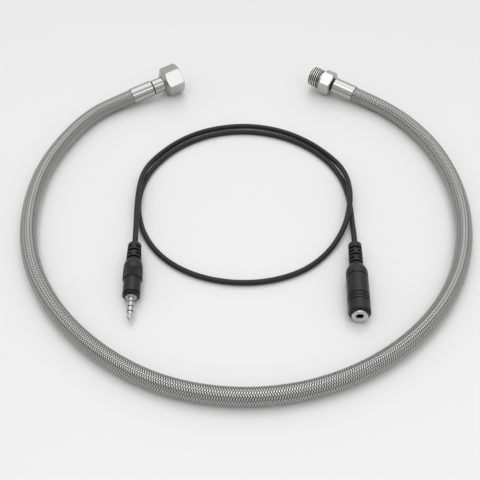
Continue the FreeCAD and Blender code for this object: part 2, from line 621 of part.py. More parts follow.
def make_boot(name, end, roles):
    """Make the slotted boot that keeps the cable from kinking at the plug or the jack."""
    visible_len = f"{name}_boot_len"
    lip_back = plus(visible_len, "shell_back_wall")
    lip_front = plus(lip_back, "boot_lip_len")
    lip_r = f"{name}_bore_dia / 2 - slip"
    outline = [
        ("0", CORD_HOLE), (lip_front, CORD_HOLE), (lip_front, lip_r), (lip_back, lip_r),
        (lip_back, f"{BOOT_NECK_R} - slip"), (visible_len, f"{BOOT_NECK_R} - slip"),
        (visible_len, f"{name}_boot_dia / 2"), ("boot_round", "boot_back_dia / 2"),
        ("0", "boot_back_dia / 2 - boot_round"),
    ]
    body = turned_piece(f"{name}_boot", end, outline)
    cut_slots(body, visible_len, f"{name}_slot_first", roles)
    return body


def make_clamp(label, end, start):
    """Make the crimped clamp that holds the cable in a shell."""
    outline = tube_outline(start, plus(start, "clamp_len"), CORD_HOLE, f"{CORD_HOLE} + clamp_wall")
    return turned_piece(label, end, outline)


def make_plug_shell():
    """Make the plug's shell, with its shoulder, grip band, groove, collar and nose."""
    bore_r = "plug_bore_dia / 2"
    hole_r = f"{SHANK_R} + slip"
    outline = [
        ("plug_boot_len", BOOT_NECK_R), (PLUG_LIP, BOOT_NECK_R), (PLUG_LIP, bore_r),
        (f"{PLUG_FRONT} - plug_front_wall", bore_r), (f"{PLUG_FRONT} - plug_front_wall", hole_r),
        (PLUG_FRONT, hole_r), (PLUG_FRONT, "plug_nose_dia / 2"), (PLUG_NOSE, "plug_barrel_dia / 2"),
        (PLUG_COLLAR, "plug_barrel_dia / 2"), (PLUG_COLLAR, "plug_groove_dia / 2"),
        (PLUG_GROOVE, "plug_groove_dia / 2"), (PLUG_GROOVE, "plug_barrel_dia / 2"),
        (PLUG_BARREL, "plug_barrel_dia / 2"), (PLUG_BARREL, "plug_band_dia / 2"),
        (PLUG_BAND, "plug_band_dia / 2"), (PLUG_SWELL, "plug_swell_dia / 2"),
        ("plug_boot_len", "plug_back_dia / 2"),
    ]
    return turned_piece("plug_shell", PLUG_END, outline)


def make_plug_contacts():
    """Make the plug's shaft: the tip, two rings and the sleeve, with insulators between.

    They lie inside one another: each has a tube behind the stretch that shows, and each
    tube's tail stands out behind the next one.
    """
    tip_back = plus(FLANGE_FACE, "pin_sleeve_len", "2 * pin_ring_len", "3 * pin_insulator_len")
    rod_r = "tip_rod_dia / 2"
    tip = [
        (PIN_TAIL, "0"), (PIN_TAIL, rod_r), (tip_back, rod_r), (tip_back, PIN_R),
        (plus(tip_back, "pin_neck_len"), PIN_R), (plus(tip_back, "pin_waist_at"), "pin_waist_dia / 2"),
        (plus(tip_back, "pin_ball_at"), "pin_ball_dia / 2"),
        (plus(tip_back, "pin_tip_len"), "pin_nose_dia / 2"), (plus(tip_back, "pin_tip_len"), "0"),
    ]
    turned_piece("plug_tip", PLUG_END, tip)
    show_front = tip_back
    inner = rod_r
    for k in range(1, 6):
        is_insulator = k % 2 == 1
        number = (k + 1) // 2
        label = f"plug_insulator_{number}" if is_insulator else f"plug_ring_{number}"
        show_len = "pin_insulator_len" if is_insulator else "pin_ring_len"
        show_back = f"{show_front} - {show_len}"
        bore = f"{inner} + fit_gap"
        tube_r = f"{bore} + tube_wall"
        tail = plus(PIN_TAIL, f"{k} * tail_step")
        outline = [
            (tail, bore), (show_front, bore), (show_front, PIN_R), (show_back, PIN_R),
            (show_back, tube_r), (tail, tube_r),
        ]
        turned_piece(label, PLUG_END, outline)
        show_front = show_back
        inner = tube_r
    bore = f"{inner} + fit_gap"
    tail = plus(PIN_TAIL, "6 * tail_step")
    sleeve = [
        (tail, bore), (show_front, bore), (show_front, PIN_R), (FLANGE_FACE, PIN_R),
        (FLANGE_FACE, "pin_flange_dia / 2 - rim"), (f"{FLANGE_FACE} - rim", "pin_flange_dia / 2"),
        (PLUG_FRONT, "pin_flange_dia / 2"), (PLUG_FRONT, SHANK_R), (tail, SHANK_R),
    ]
    turned_piece("plug_sleeve", PLUG_END, sleeve)


def make_plug():
    """Make the plug: its boot, shell, clamp, inner moulding and contacts."""
    make_boot("plug", PLUG_END, SIDES_FIRST)
    make_clamp("plug_cord_clamp", PLUG_END, PLUG_CLAMP)
    mould_stop = f"{PLUG_FRONT} - plug_front_wall - fit_gap"
    mould_r = "plug_bore_dia / 2 - fit_gap"
    mould = tube_outline(PLUG_MOULD, mould_stop, f"{SHANK_R} + fit_gap", mould_r)
    turned_piece("plug_inner_mould", PLUG_END, mould)
    make_plug_shell()
    make_plug_contacts()


def make_jack_shell():
    """Make the socket's shell with its shoulder, grooves and bevelled front."""
    outer_r = "jack_dia / 2"
    bore_r = "jack_bore_dia / 2"
    floor_r = f"{outer_r} - jack_groove_depth"
    hole_r = f"{BUSH_SHANK_R} + slip"
    outline = [
        ("jack_boot_len", BOOT_NECK_R), (JACK_LIP, BOOT_NECK_R), (JACK_LIP, bore_r),
        (INSERT_FRONT, bore_r), (INSERT_FRONT, hole_r), (JACK_FRONT, hole_r),
        (JACK_FRONT, f"{outer_r} - jack_edge"), (f"{JACK_FRONT} - jack_edge", outer_r),
    ]
    grooves = [f"{JACK_FRONT} - jack_front_groove - {k} * jack_groove_pitch" for k in range(3)]
    grooves.append(plus(JACK_BARREL, "jack_back_groove"))
    for front in grooves:
        back = f"{front} - jack_groove_len"
        outline += [(front, outer_r), (front, floor_r), (back, floor_r), (back, outer_r)]
    outline += [(JACK_BARREL, outer_r), (JACK_CROWN, "jack_crown_dia / 2")]
    outline += [(JACK_SWELL, "jack_swell_dia / 2"), ("jack_boot_len", "jack_back_dia / 2")]
    return turned_piece("jack_shell", JACK_END, outline)


def make_bush():
    """Make the bright bush in the socket's mouth, with its lead-in."""
    bore_r = "bush_bore_dia / 2"
    outline = [
        (BUSH_BACK, bore_r), (f"{BUSH_FACE} - bush_sink_len", bore_r),
        (BUSH_FACE, "bush_sink_dia / 2"), (BUSH_FACE, "bush_face_dia / 2 - bush_round"),
        (f"{BUSH_FACE} - bush_round", "bush_face_dia / 2"), (JACK_FRONT, "bush_face_dia / 2"),
        (JACK_FRONT, BUSH_SHANK_R), (BUSH_BACK, BUSH_SHANK_R),
    ]
    return turned_piece("jack_bush", JACK_END, outline)


def about_x(turn):
    """Return the placement that only turns about X, by an angle in degrees."""
    return FreeCAD.Placement(Vector(0, 0, 0), FreeCAD.Rotation(Vector(1, 0, 0), turn))


def leaf_slot(body, leaf_label, turn, nose):
    """Cut the slot that a contact leaf springs in, at its place round the insert."""
    root_in = "leaf_height - leaf_gap"
    root_out = "leaf_height + leaf_thick + leaf_gap"
    room_start = plus(LEAF_PIVOT, "2 * leaf_gap")
    stop = plus(nose, "leaf_nose", "leaf_end_gap")
    outline = [
        (INSERT_BACK, root_in), (CHANNEL_END, root_in), (CHANNEL_END, "channel_dia / 4"),
        (stop, "channel_dia / 4"), (stop, plus(root_out, "leaf_room")),
        (room_start, plus(root_out, "leaf_room")), (room_start, root_out), (INSERT_BACK, root_out),
    ]
    sketch = outline_sketch(body, f"{leaf_label}_slot_outline", "XZ_Plane", [outline])
    sketch.AttachmentOffset = about_x(turn)
    pocket = body.newObject("PartDesign::Pocket", f"{leaf_label}_slot")
    pocket.Profile = sketch
    pocket.Midplane = True
    pocket.Length = value_of("leaf_width + 2 * leaf_side_gap")
    pocket.setExpression("Length", bound("leaf_width + 2 * leaf_side_gap"))
    return pocket


def make_insert():
    """Make the socket's moulded insert, which guides the plug and holds the leaves."""
    insert_r = "jack_bore_dia / 2 - slip"
    outline = [
        (INSERT_BACK, "0"), (CHANNEL_END, "0"), (CHANNEL_END, "channel_dia / 2"),
        (INSERT_FRONT, "channel_dia / 2"), (INSERT_FRONT, insert_r), (INSERT_BACK, insert_r),
    ]
    body = turned_piece("jack_insert", JACK_END, outline)
    for leaf_label, turn in LEAF_TURNS.items():
        leaf_slot(body, leaf_label, turn, nose_place(leaf_label))
    return body


def nose_place(leaf_label):
    """Return where a leaf's nose lies along the socket."""
    size = leaf_label.replace("jack_", "").replace("_spring", "_nose_at")
    return f"{BUSH_FACE} - {size}"


def make_leaf(label, turn):
    """Make a bent contact leaf, whose nose presses on one contact of the plug."""
    body = new_body(label, JACK_END)
    body.Placement = placement(JACK_END) * about_x(turn)
    nose = nose_place(label)
    back = f"{INSERT_BACK} - leaf_tail"
    low = "leaf_height - leaf_dip"
    high = plus("leaf_height", "leaf_thick")
    outline = [
        (back, "leaf_height"), (f"{nose} - leaf_nose", "leaf_height"), (nose, low),
        (plus(nose, "leaf_nose"), "leaf_height"), (plus(nose, "leaf_nose"), high),
        (nose, plus(low, "leaf_thick")), (f"{nose} - leaf_nose", high), (back, high),
    ]
    sketch = outline_sketch(body, f"{label}_outline", "XZ_Plane", [outline])
    pad = body.newObject("PartDesign::Pad", f"{label}_strip")
    pad.Profile = sketch
    pad.Midplane = True
    pad.Length = value_of("leaf_width")
    pad.setExpression("Length", bound("leaf_width"))
    return body


def make_jack():
    """Make the socket: its boot, shell, clamp, mouldings, bush and contact leaves."""
    make_boot("jack", JACK_END, TOP_FIRST)
    make_clamp("jack_cord_clamp", JACK_END, JACK_CLAMP)
    mould_r = "jack_bore_dia / 2 - slip"
    mould_stop = plus(JACK_MOULD, "jack_mould_len")
    mould = tube_outline(JACK_MOULD, mould_stop, f"{CORE_R} + slip", mould_r)
    turned_piece("jack_wire_mould", JACK_END, mould)
    make_jack_shell()
    make_bush()
    make_insert()
    for label, turn in LEAF_TURNS.items():
        make_leaf(label, turn)


def make_cable():
    """Make the cable's jacket and wires, which run into both ends."""
    plug_stop = plus(PLUG_CLAMP, "clamp_len")
    jack_stop = plus(JACK_CLAMP, "clamp_len")
    swept_tube("cable_jacket", CORD_ROUTE, plug_stop, jack_stop, CORD_R, f"{CORE_R} + slip")
    wires_stop = plus(JACK_MOULD, "jack_mould_len")
    swept_tube("cable_cores", CORD_ROUTE, PIN_TAIL, wires_stop, CORE_R)


def check_and_write():
    """Check every object and sub-part, then write each sub-part to parts/."""
    doc.recompute()
    for item in doc.Objects:
        if "Invalid" in item.State or "Error" in item.State:
            raise RuntimeError(f"{item.Name} failed: {item.State}")
    pieces = [item for item in doc.Objects if item.TypeId in ("PartDesign::Body", "Part::Feature")]
    for piece in pieces:
        if piece.Shape.isNull() or not piece.Shape.isValid() or not piece.Shape.Solids:
            raise RuntimeError(f"{piece.Label} has no valid solid")
    os.makedirs("parts", exist_ok=True)
    for piece in pieces:
        piece.Shape.exportStep(os.path.join("parts", f"{piece.Label}.step"))
    print(f"{len(pieces)} sub-parts written")


make_hose_and_ends()
make_cable()
make_plug()
make_jack()
check_and_write()
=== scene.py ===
"""Dress the extension set: a steel-braided hose with threaded ends, and a looped jack cable.

The classes hold their sizes in millimetres; the meshes are in metres. The set lies on the
plane Z = 0, with X to the right and Y away from the viewer. Each end is drawn along its own
axis: local X starts where the hose or cable goes in and runs towards the end's open face.
"""
import logging
import math
from dataclasses import dataclass
from enum import Enum
from typing import Callable, NamedTuple, Sequence

import bmesh
import bpy
import numpy as np
from mathutils import Matrix, Vector


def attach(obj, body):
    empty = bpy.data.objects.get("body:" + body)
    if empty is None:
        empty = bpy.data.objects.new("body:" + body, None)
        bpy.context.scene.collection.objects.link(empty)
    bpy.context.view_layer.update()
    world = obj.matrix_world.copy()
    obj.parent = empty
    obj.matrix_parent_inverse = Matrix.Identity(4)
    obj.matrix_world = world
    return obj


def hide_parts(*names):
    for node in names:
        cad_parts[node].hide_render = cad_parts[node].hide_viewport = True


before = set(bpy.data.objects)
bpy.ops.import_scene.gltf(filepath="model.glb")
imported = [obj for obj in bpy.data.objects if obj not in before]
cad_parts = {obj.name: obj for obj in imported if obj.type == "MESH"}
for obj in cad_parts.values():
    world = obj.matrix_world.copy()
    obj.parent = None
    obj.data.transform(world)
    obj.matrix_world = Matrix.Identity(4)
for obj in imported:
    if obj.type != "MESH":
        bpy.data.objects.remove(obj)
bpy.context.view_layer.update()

log = logging.getLogger("extension_set")

MM = 0.001
TURN = 2 * math.pi
COS_30 = math.cos(math.radians(30))

# The sockets of a colour Mix node: its two colours, and its result
MIX_A, MIX_B, MIX_RESULT = 6, 7, 2

# The hose's route from the union's ferrule to the male ferrule, in metres
HOSE_ROUTE = [
    (-0.0740, 0.0809, 0.0062), (-0.0847, 0.0751, 0.0047), (-0.0976, 0.0636, 0.0047),
    (-0.1105, 0.0415, 0.0047), (-0.1212, 0.0096, 0.0047), (-0.1232, -0.0264, 0.0047),
    (-0.1170, -0.0619, 0.0047), (-0.1012, -0.0944, 0.0047), (-0.0767, -0.1224, 0.0047),
    (-0.0452, -0.1432, 0.0047), (-0.0097, -0.1521, 0.0047), (0.0273, -0.1494, 0.0047),
    (0.0623, -0.1349, 0.0047), (0.0916, -0.1109, 0.0047), (0.1128, -0.0794, 0.0047),
    (0.1238, -0.0439, 0.0047), (0.1258, -0.0079, 0.0047), (0.1198, 0.0251, 0.0047),
    (0.1093, 0.0486, 0.0047), (0.0966, 0.0662, 0.0047), (0.0844, 0.0772, 0.0049),
    (0.0738, 0.0837, 0.00625),
]

# The cable's route from the plug's boot to the socket's boot, in metres
CORD_ROUTE = [
    (-0.05962, -0.05517, 0.00628), (-0.06003, -0.0432, 0.00678), (-0.0612, -0.0254, 0.0060),
    (-0.0616, -0.0074, 0.0058), (-0.0599, 0.0091, 0.0046), (-0.0531, 0.0261, 0.0016),
    (-0.0402, 0.0411, 0.0016), (-0.0227, 0.0519, 0.0016), (0.0003, 0.0564, 0.0016),
    (0.0223, 0.0518, 0.0016), (0.0401, 0.0406, 0.0016), (0.0531, 0.0261, 0.0016),
    (0.0603, 0.0096, 0.0045), (0.0625, -0.0074, 0.0058), (0.0609, -0.0244, 0.0058),
    (0.0561, -0.0409, 0.0036), (0.0465, -0.0569, 0.0016), (0.0326, -0.0702, 0.0016),
    (0.0138, -0.0778, 0.0016), (-0.0067, -0.0789, 0.0016), (-0.0265, -0.0737, 0.0016),
    (-0.0430, -0.0626, 0.0016), (-0.0543, -0.0472, 0.0016), (-0.0603, -0.0294, 0.0016),
    (-0.0617, -0.0104, 0.0016), (-0.0582, 0.0076, 0.0016), (-0.0493, 0.0241, 0.0016),
    (-0.0359, 0.0380, 0.0016), (-0.0183, 0.0474, 0.0016), (0.0008, 0.0501, 0.0016),
    (0.0201, 0.0464, 0.0016), (0.0373, 0.0368, 0.0016), (0.0506, 0.0226, 0.0016),
    (0.0586, 0.0066, 0.0016), (0.0617, -0.0104, 0.0016), (0.0618, -0.0254, 0.0016),
    (0.0614, -0.0369, 0.0026), (0.06092, -0.0465, 0.00585), (0.06053, -0.0548, 0.00585),
]


def linear(code: str) -> tuple[float, float, float, float]:
    """Turn an sRGB hex colour to linear: a straight line near black, then a power of 2.4.

    Args:
        code: the colour as #RRGGBB.

    Returns:
        Linear red, green and blue, and an alpha of one.
    """
    parts = np.array([int(code[k:k + 2], 16) for k in (1, 3, 5)]) / 255.0
    curve = np.where(parts <= 0.04045, parts / 12.92, ((parts + 0.055) / 1.055) ** 2.4)
    return (*(float(part) for part in curve), 1.0)


def add_node(tree: bpy.types.NodeTree, kind: str, settings: dict | None = None,
             links: dict | None = None) -> bpy.types.Node:
    """Add one shader node with its settings and links.

    Args:
        tree: the node tree to add to.
        kind: Blender's name for the kind of node.
        settings: values by input name or number, or by the node's own property.
        links: for each input name or number, the node and output that feed it.

    Returns:
        The new node.
    """
    node = tree.nodes.new(kind)
    for key, value in (settings or {}).items():
        if isinstance(key, int) or key in node.inputs:
            node.inputs[key].default_value = value
        else:
            setattr(node, key, value)
    for key, (source, output) in (links or {}).items():
        tree.links.new(source.outputs[output], node.inputs[key])
    return node


# Finishes


def end_radius(tree: bpy.types.NodeTree, place: bpy.types.Node) -> bpy.types.Node:
    """Work out the distance from an end's axis: the length of the place without its X.

    Args:
        tree: the node tree to add to.
        place: the node that gives the place in the end's frame.

    Returns:
        The node with the distance.
    """
    across = add_node(tree, "ShaderNodeVectorMath",
                      {"operation": "MULTIPLY", 1: (0.0, 1.0, 1.0)}, {0: (place, "Vector")})
    return add_node(tree, "ShaderNodeVectorMath", {"operation": "LENGTH"},
                    {0: (across, "Vector")})


class Lay(Enum):
    """What a pattern follows: the piece, its end's frame, or rings round the end's axis."""

    PIECE = "Object"
    END = "Vector"
    RINGS = "W"


@dataclass(frozen=True)
class Pattern:
    """A soft noise with a grain in millimetres, stretched along what it follows."""

    grain: float
    detail: float = 2.0
    lay: Lay = Lay.PIECE
    stretch: tuple[float, float, float] = (1.0, 1.0, 1.0)
    harshness: float = 0.5

    def noise(self, tree: bpy.types.NodeTree) -> bpy.types.Node:
        """Add the noise. Rings follow the sum of the place along the axis and the radius.

        Args:
            tree: the material's node tree.

        Returns:
            The noise's node.
        """
        unit = MM if self.lay is Lay.PIECE else 1.0
        settings = {"Scale": 1 / (self.grain * unit), "Detail": self.detail,
                    "Roughness": self.harshness}
        if self.lay is Lay.PIECE:
            place = add_node(tree, "ShaderNodeTexCoord")
        else:
            place = add_node(tree, "ShaderNodeAttribute", {"attribute_name": "end_mm"})
        if self.lay is Lay.RINGS:
            axes = add_node(tree, "ShaderNodeSeparateXYZ", links={"Vector": (place, "Vector")})
            total = add_node(tree, "ShaderNodeMath", {"operation": "ADD"},
                             {0: (axes, "X"), 1: (end_radius(tree, place), "Value")})
            return add_node(tree, "ShaderNodeTexNoise", {"noise_dimensions": "1D", **settings},
                            {"W": (total, "Value")})
        drawn = add_node(tree, "ShaderNodeMapping", {"Scale": self.stretch},
                         {"Vector": (place, self.lay.value)})
        return add_node(tree, "ShaderNodeTexNoise", settings, {"Vector": (drawn, "Vector")})


@dataclass(frozen=True)
class Finish:
    """A finish: what every material of the set shares."""

    name: str
    colour: str
    roughness: float
    metallic: float = 0.0

    def material(self) -> bpy.types.Material:
        """Return the finish's material, made when it is first asked for.

        Returns:
            The material, with its whole node tree.
        """
        made = bpy.data.materials.get(self.name)
        if made is None:
            made = bpy.data.materials.new(self.name)
            made.use_nodes = True
            made.diffuse_color = linear(self.colour)
            tree = made.node_tree
            tree.nodes.clear()
            shader = add_node(tree, "ShaderNodeBsdfPrincipled",
                              {"Base Color": linear(self.colour), "Roughness": self.roughness,
                               "Metallic": self.metallic}, self.skin(tree))
            add_node(tree, "ShaderNodeOutputMaterial", links={"Surface": (shader, "BSDF")})
        return made

    def skin(self, tree: bpy.types.NodeTree) -> dict:
        """Add the finish's own pattern.

        Args:
            tree: the material's node tree.

        Returns:
            The node and output that feed each of the shader's patterned inputs.
        """
        raise NotImplementedError


@dataclass(frozen=True)
class Patterned(Finish):
    """A finish whose roughness spreads over patches, and whose relief breaks up its gloss.

    The spread is the least and the most of the roughness, as shares of it. Without a depth
    there is no relief, and without a relief of its own the surface rises with the patches.
    """

    patches: Pattern = Pattern(4.0, 3.0)
    spread: tuple[float, float] = (0.8, 1.3)
    relief: Pattern | None = None
    strength: float = 0.5
    depth: float = 0.0

    def skin(self, tree: bpy.types.NodeTree) -> dict:
        """Spread the roughness over the patches, and raise the surface by the relief.

        Args:
            tree: the material's node tree.

        Returns:
            The node and output that feed each of the shader's patterned inputs.
        """
        patches = self.patches.noise(tree)
        low, high = self.spread
        rough = add_node(tree, "ShaderNodeMapRange",
                         {"To Min": self.roughness * low, "To Max": self.roughness * high},
                         {"Value": (patches, "Fac")})
        feeds = {"Roughness": (rough, "Result")}
        if self.depth:
            relief = self.relief.noise(tree) if self.relief else patches
            bump = add_node(tree, "ShaderNodeBump",
                            {"Strength": self.strength, "Distance": self.depth * MM},
                            {"Height": (relief, "Fac")})
            feeds["Normal"] = (bump, "Normal")
        return feeds


@dataclass(frozen=True)
class Metal(Patterned):
    """A bare or plated metal."""

    metallic: float = 1.0


@dataclass(frozen=True)
class Moulded(Patterned):
    """A moulded plastic, vinyl or rubber: a fine skin texture breaks up its gloss.

    The grain of the mould is a few hundredths of a millimetre. It is drawn coarser, at the
    relief's size, so that it shows.
    """

    patches: Pattern = Pattern(6.0)
    spread: tuple[float, float] = (0.85, 1.2)
    relief: Pattern | None = Pattern(0.25)
    depth: float = 0.01


@dataclass(frozen=True)
class ThreadSteel(Finish):
    """Stainless steel with a cut thread: bright crests, and roots darkened with painted shade."""

    metallic: float = 1.0
    # The colour of the thread's roots: painted shade, where the grooves hold shade
    root_shade: str = "#0C0C0C"
    root: float = 5.9
    crest: float = 6.4

    def skin(self, tree: bpy.types.NodeTree) -> dict:
        """Darken the thread from its crests' radius to its roots': painted shade in the roots.

        Args:
            tree: the material's node tree.

        Returns:
            The node and output that feed the shader's colour.
        """
        place = add_node(tree, "ShaderNodeAttribute", {"attribute_name": "end_mm"})
        # Painted shade: the colour falls from the steel's at the crests to near black at the roots
        unshaded = add_node(tree, "ShaderNodeMapRange",
                         {"From Min": self.root, "From Max": self.crest},
                         {"Value": (end_radius(tree, place), "Value")})
        tone = add_node(tree, "ShaderNodeMix",
                        {"data_type": "RGBA", MIX_A: linear(self.root_shade),
                         MIX_B: linear(self.colour)}, {0: (unshaded, "Result")})
        return {"Base Color": (tone, MIX_RESULT)}


@dataclass(frozen=True)
class BraidWire(Finish):
    """Stainless wire, laid flat in bands: each band is several bright round wires.

    The wires are about 0.2 mm thick, so a band of one millimetre holds five. Grooves between
    wires, and the places where a band dips under another, are darkened towards the shade colour:
    painted shade.
    """

    metallic: float = 1.0
    wires: int = 5
    shade: str = "#3A3A3A"
    groove_top: float = 0.45
    groove_tone: float = 0.5
    dip_from: float = 0.45
    dip_to: float = 0.75
    dip_tone: float = 0.2
    strength: float = 0.2
    depth: float = 0.06

    def skin(self, tree: bpy.types.NodeTree) -> dict:
        """Raise each wire as a rounded ridge, the root of its distance from the groove.

        Args:
            tree: the material's node tree.

        Returns:
            The node and output that feed the shader's colour and normal.
        """
        place = add_node(tree, "ShaderNodeUVMap", {"uv_map": "band"})
        axes = add_node(tree, "ShaderNodeSeparateXYZ", links={"Vector": (place, "UV")})
        ridge, output = axes, "X"
        for operation, value in (("MULTIPLY", float(self.wires)), ("PINGPONG", 0.5),
                                 ("POWER", 0.5)):
            ridge = add_node(tree, "ShaderNodeMath", {"operation": operation, 1: value},
                             {0: (ridge, output)})
            output = "Value"
        # Painted shade: darker in the grooves between wires and where a band dips under another
        valley = add_node(tree, "ShaderNodeMapRange",
                          {"From Max": self.groove_top, "To Min": self.groove_tone},
                          {"Value": (ridge, "Value")})
        lift = add_node(tree, "ShaderNodeAttribute", {"attribute_name": "lift"})
        dip = add_node(tree, "ShaderNodeMapRange",
                       {"From Min": self.dip_from, "From Max": self.dip_to,
                        "To Min": self.dip_tone}, {"Value": (lift, "Fac")})
        unshaded = add_node(tree, "ShaderNodeMath", {"operation": "MULTIPLY"},
                         {0: (valley, "Result"), 1: (dip, "Result")})
        tone = add_node(tree, "ShaderNodeMix",
                        {"data_type": "RGBA", MIX_A: linear(self.shade),
                         MIX_B: linear(self.colour)}, {0: (unshaded, "Value")})
        bump = add_node(tree, "ShaderNodeBump",
                        {"Strength": self.strength, "Distance": self.depth * MM},
                        {"Height": (ridge, "Value")})
        return {"Base Color": (tone, MIX_RESULT), "Normal": (bump, "Normal")}


# Buffed: mirror-like, with fine scratches that soften its highlights
POLISHED_STEEL = Metal("stainless_steel_buffed", "#B8B8B6", 0.1, strength=0.25, depth=0.004,
                       relief=Pattern(0.5, 4.0, stretch=(1.0, 0.25, 1.0), harshness=0.7))
# As it leaves the lathe: fine rings catch the light. The tool's feed is about 0.15 mm, and
# the rings are drawn twice as coarse, so that they show
TURNED_STEEL = Metal("stainless_steel_turned", "#B2B2B0", 0.18, spread=(0.8, 1.4),
                     patches=Pattern(0.3, 3.0, Lay.RINGS), strength=0.35, depth=0.01)
THREAD_STEEL = ThreadSteel("stainless_steel_thread_cut", "#E0E0DE", 0.2)
# Hexagonal bar as drawn: flats with faint lines along the bar
DRAWN_STEEL = Metal("stainless_steel_drawn_bar", "#BEBEBC", 0.18, spread=(0.75, 1.35),
                    patches=Pattern(0.25, 4.0, Lay.END, (0.06, 1.0, 1.0)),
                    strength=0.3, depth=0.008)
BRAID_WIRE = BraidWire("stainless_wire_braided", "#C8C8C6", 0.14)
# Black rubber and vinyl: dull, with a soft sheen; the shells' plastic shines a little more
HOSE_RUBBER = Moulded("rubber_extruded", "#0A0A0A", 0.45)
CABLE_VINYL = Moulded("vinyl_extruded", "#0A0A0B", 0.45, relief=Pattern(0.4), depth=0.006)
BOOT_VINYL = Moulded("vinyl_moulded", "#0B0B0C", 0.5, relief=Pattern(0.3), depth=0.012)
SHELL_PLASTIC = Moulded("abs_moulded_satin", "#0A0A0B", 0.34)
INSULATOR = Moulded("nylon_moulded_gloss", "#0A0A0A", 0.25, relief=Pattern(0.5), depth=0.002)
# Plated brass and rolled bronze: smooth, with a slight bloom where they were handled
NICKEL_PLATE = Metal("nickel_plated", "#C6C6C7", 0.13, patches=Pattern(1.5, 3.0),
                     spread=(0.6, 1.5))
SPRING_BRONZE = Metal("phosphor_bronze_rolled", "#B08B57", 0.3, patches=Pattern(1.5, 3.0),
                      spread=(0.6, 1.5))
# A pale glazed table top: even, with a faint blurred reflection of what lies on it
FLOOR = Patterned("table_top_glazed", "#EFEFEF", 0.22, patches=Pattern(125.0),
                  spread=(0.95, 1.05))


# Meshes

# A rounded corner has this many points, and takes up at most this share of a run
ARC_POINTS = 5
MAX_REACH = 0.45
# A run's outer rings lie this far from its ends in millimetres, and at most this share of it
EDGE_GAP = 0.05
MAX_EDGE = 0.2


class Corner(NamedTuple):
    """A corner of a turned profile, and the run that follows it.

    The place and the radius are millimetres, and either may be an array with one value for
    each angle. steps adds rings to the run, and finish is the run's material number.
    Profiles are written as rows of these values.
    """

    along: float | np.ndarray
    radius: float | np.ndarray
    rounding: float = 0.1
    steps: int = 0
    finish: int = 0


@dataclass(frozen=True)
class EndFrame:
    """The frame of one end: local X goes on along the route, out of the hose or cable."""

    at: tuple[float, float, float]
    before: tuple[float, float, float]
    turn: float = 0.0

    def matrix(self) -> np.ndarray:
        """Return the turn to the route's compass and rise, then about its own axis.

        Returns:
            The 4 by 4 matrix from the end's frame to the set's, in metres.
        """
        way = np.subtract(self.at, self.before)
        compass = math.atan2(way[1], way[0])
        rise = math.atan2(way[2], math.hypot(way[0], way[1]))
        turned = (Matrix.Rotation(compass, 4, "Z") @ Matrix.Rotation(-rise, 4, "Y")
                  @ Matrix.Rotation(math.radians(self.turn), 4, "X"))
        return np.array(Matrix.Translation(self.at) @ turned)


UNION_END = EndFrame(HOSE_ROUTE[0], HOSE_ROUTE[1], 19.0)
MALE_END = EndFrame(HOSE_ROUTE[-1], HOSE_ROUTE[-2], -8.0)
PLUG_END = EndFrame(CORD_ROUTE[0], CORD_ROUTE[1])
JACK_END = EndFrame(CORD_ROUTE[-1], CORD_ROUTE[-2])


def new_mesh(name: str, points: np.ndarray, quads: np.ndarray) -> bpy.types.Mesh:
    """Make a smooth-shaded mesh of four-sided faces.

    Args:
        name: the mesh's name.
        points: an array of (x, y, z) in metres.
        quads: an array of four point numbers for each face.

    Returns:
        The mesh.
    """
    mesh = bpy.data.meshes.new(name)
    mesh.vertices.add(len(points))
    mesh.vertices.foreach_set("co", points.astype(np.float32).ravel())
    mesh.loops.add(quads.size)
    mesh.loops.foreach_set("vertex_index", quads.astype(np.int32).ravel())
    mesh.polygons.add(len(quads))
    mesh.polygons.foreach_set("loop_start", np.arange(0, quads.size, 4, dtype=np.int32))
    mesh.polygons.foreach_set("use_smooth", np.ones(len(quads), dtype=bool))
    mesh.update(calc_edges=True)
    return mesh


def grid_quads(rows: int, columns: int, closed: bool) -> np.ndarray:
    """Return the faces of a grid of points that closes round its columns.

    Args:
        rows: how many rows of points there are.
        columns: how many points a row has.
        closed: whether the last row runs on to the first.

    Returns:
        An array of four point numbers for each face.
    """
    i = np.arange(rows if closed else rows - 1)[:, None]
    j = np.arange(columns)[None, :]
    ahead, beside = (i + 1) % rows, (j + 1) % columns
    return np.stack([i * columns + j, i * columns + beside, ahead * columns + beside,
                     ahead * columns + j], -1).reshape(-1, 4)


def new_object(name: str, data: bpy.types.ID, finishes: Sequence[Finish]) -> bpy.types.Object:
    """Put a mesh or a curve into the scene at the origin, with its materials.

    Args:
        name: the object's name.
        data: its mesh or curve.
        finishes: its finishes, in the order of its material numbers.

    Returns:
        The object.
    """
    for finish in finishes:
        data.materials.append(finish.material())
    piece = bpy.data.objects.new(name, data)
    bpy.context.scene.collection.objects.link(piece)
    return piece


def even_angles(count: int, extra: Sequence[float] = (), repeat: int = 1) -> np.ndarray:
    """Return angles all the way round, evenly spaced, with extra ones in each repeat.

    Args:
        count: how many even steps there are.
        extra: further angles in degrees, from the start of each repeat.
        repeat: how often the extra angles repeat in a turn.

    Returns:
        Sorted angles in radians, from zero to just under a turn.
    """
    even = np.arange(count) * 360.0 / count
    starts = np.arange(repeat) * 360.0 / repeat
    more = (starts[:, None] + np.asarray(extra, dtype=float)[None, :]).ravel() % 360.0
    return np.radians(np.unique(np.round(np.concatenate([even, more]), 4)))


def lengths(steps: np.ndarray) -> np.ndarray:
    """Return the length of each vector, never quite zero, so that it can be divided by."""
    return np.maximum(np.linalg.norm(steps, axis=-1, keepdims=True), 1e-9)


def smooth_step(value: np.ndarray) -> np.ndarray:
    """Return 3v^2 - 2v^3 of the value held between zero and one."""
    held = np.clip(value, 0.0, 1.0)
    return held * held * (3.0 - 2.0 * held)


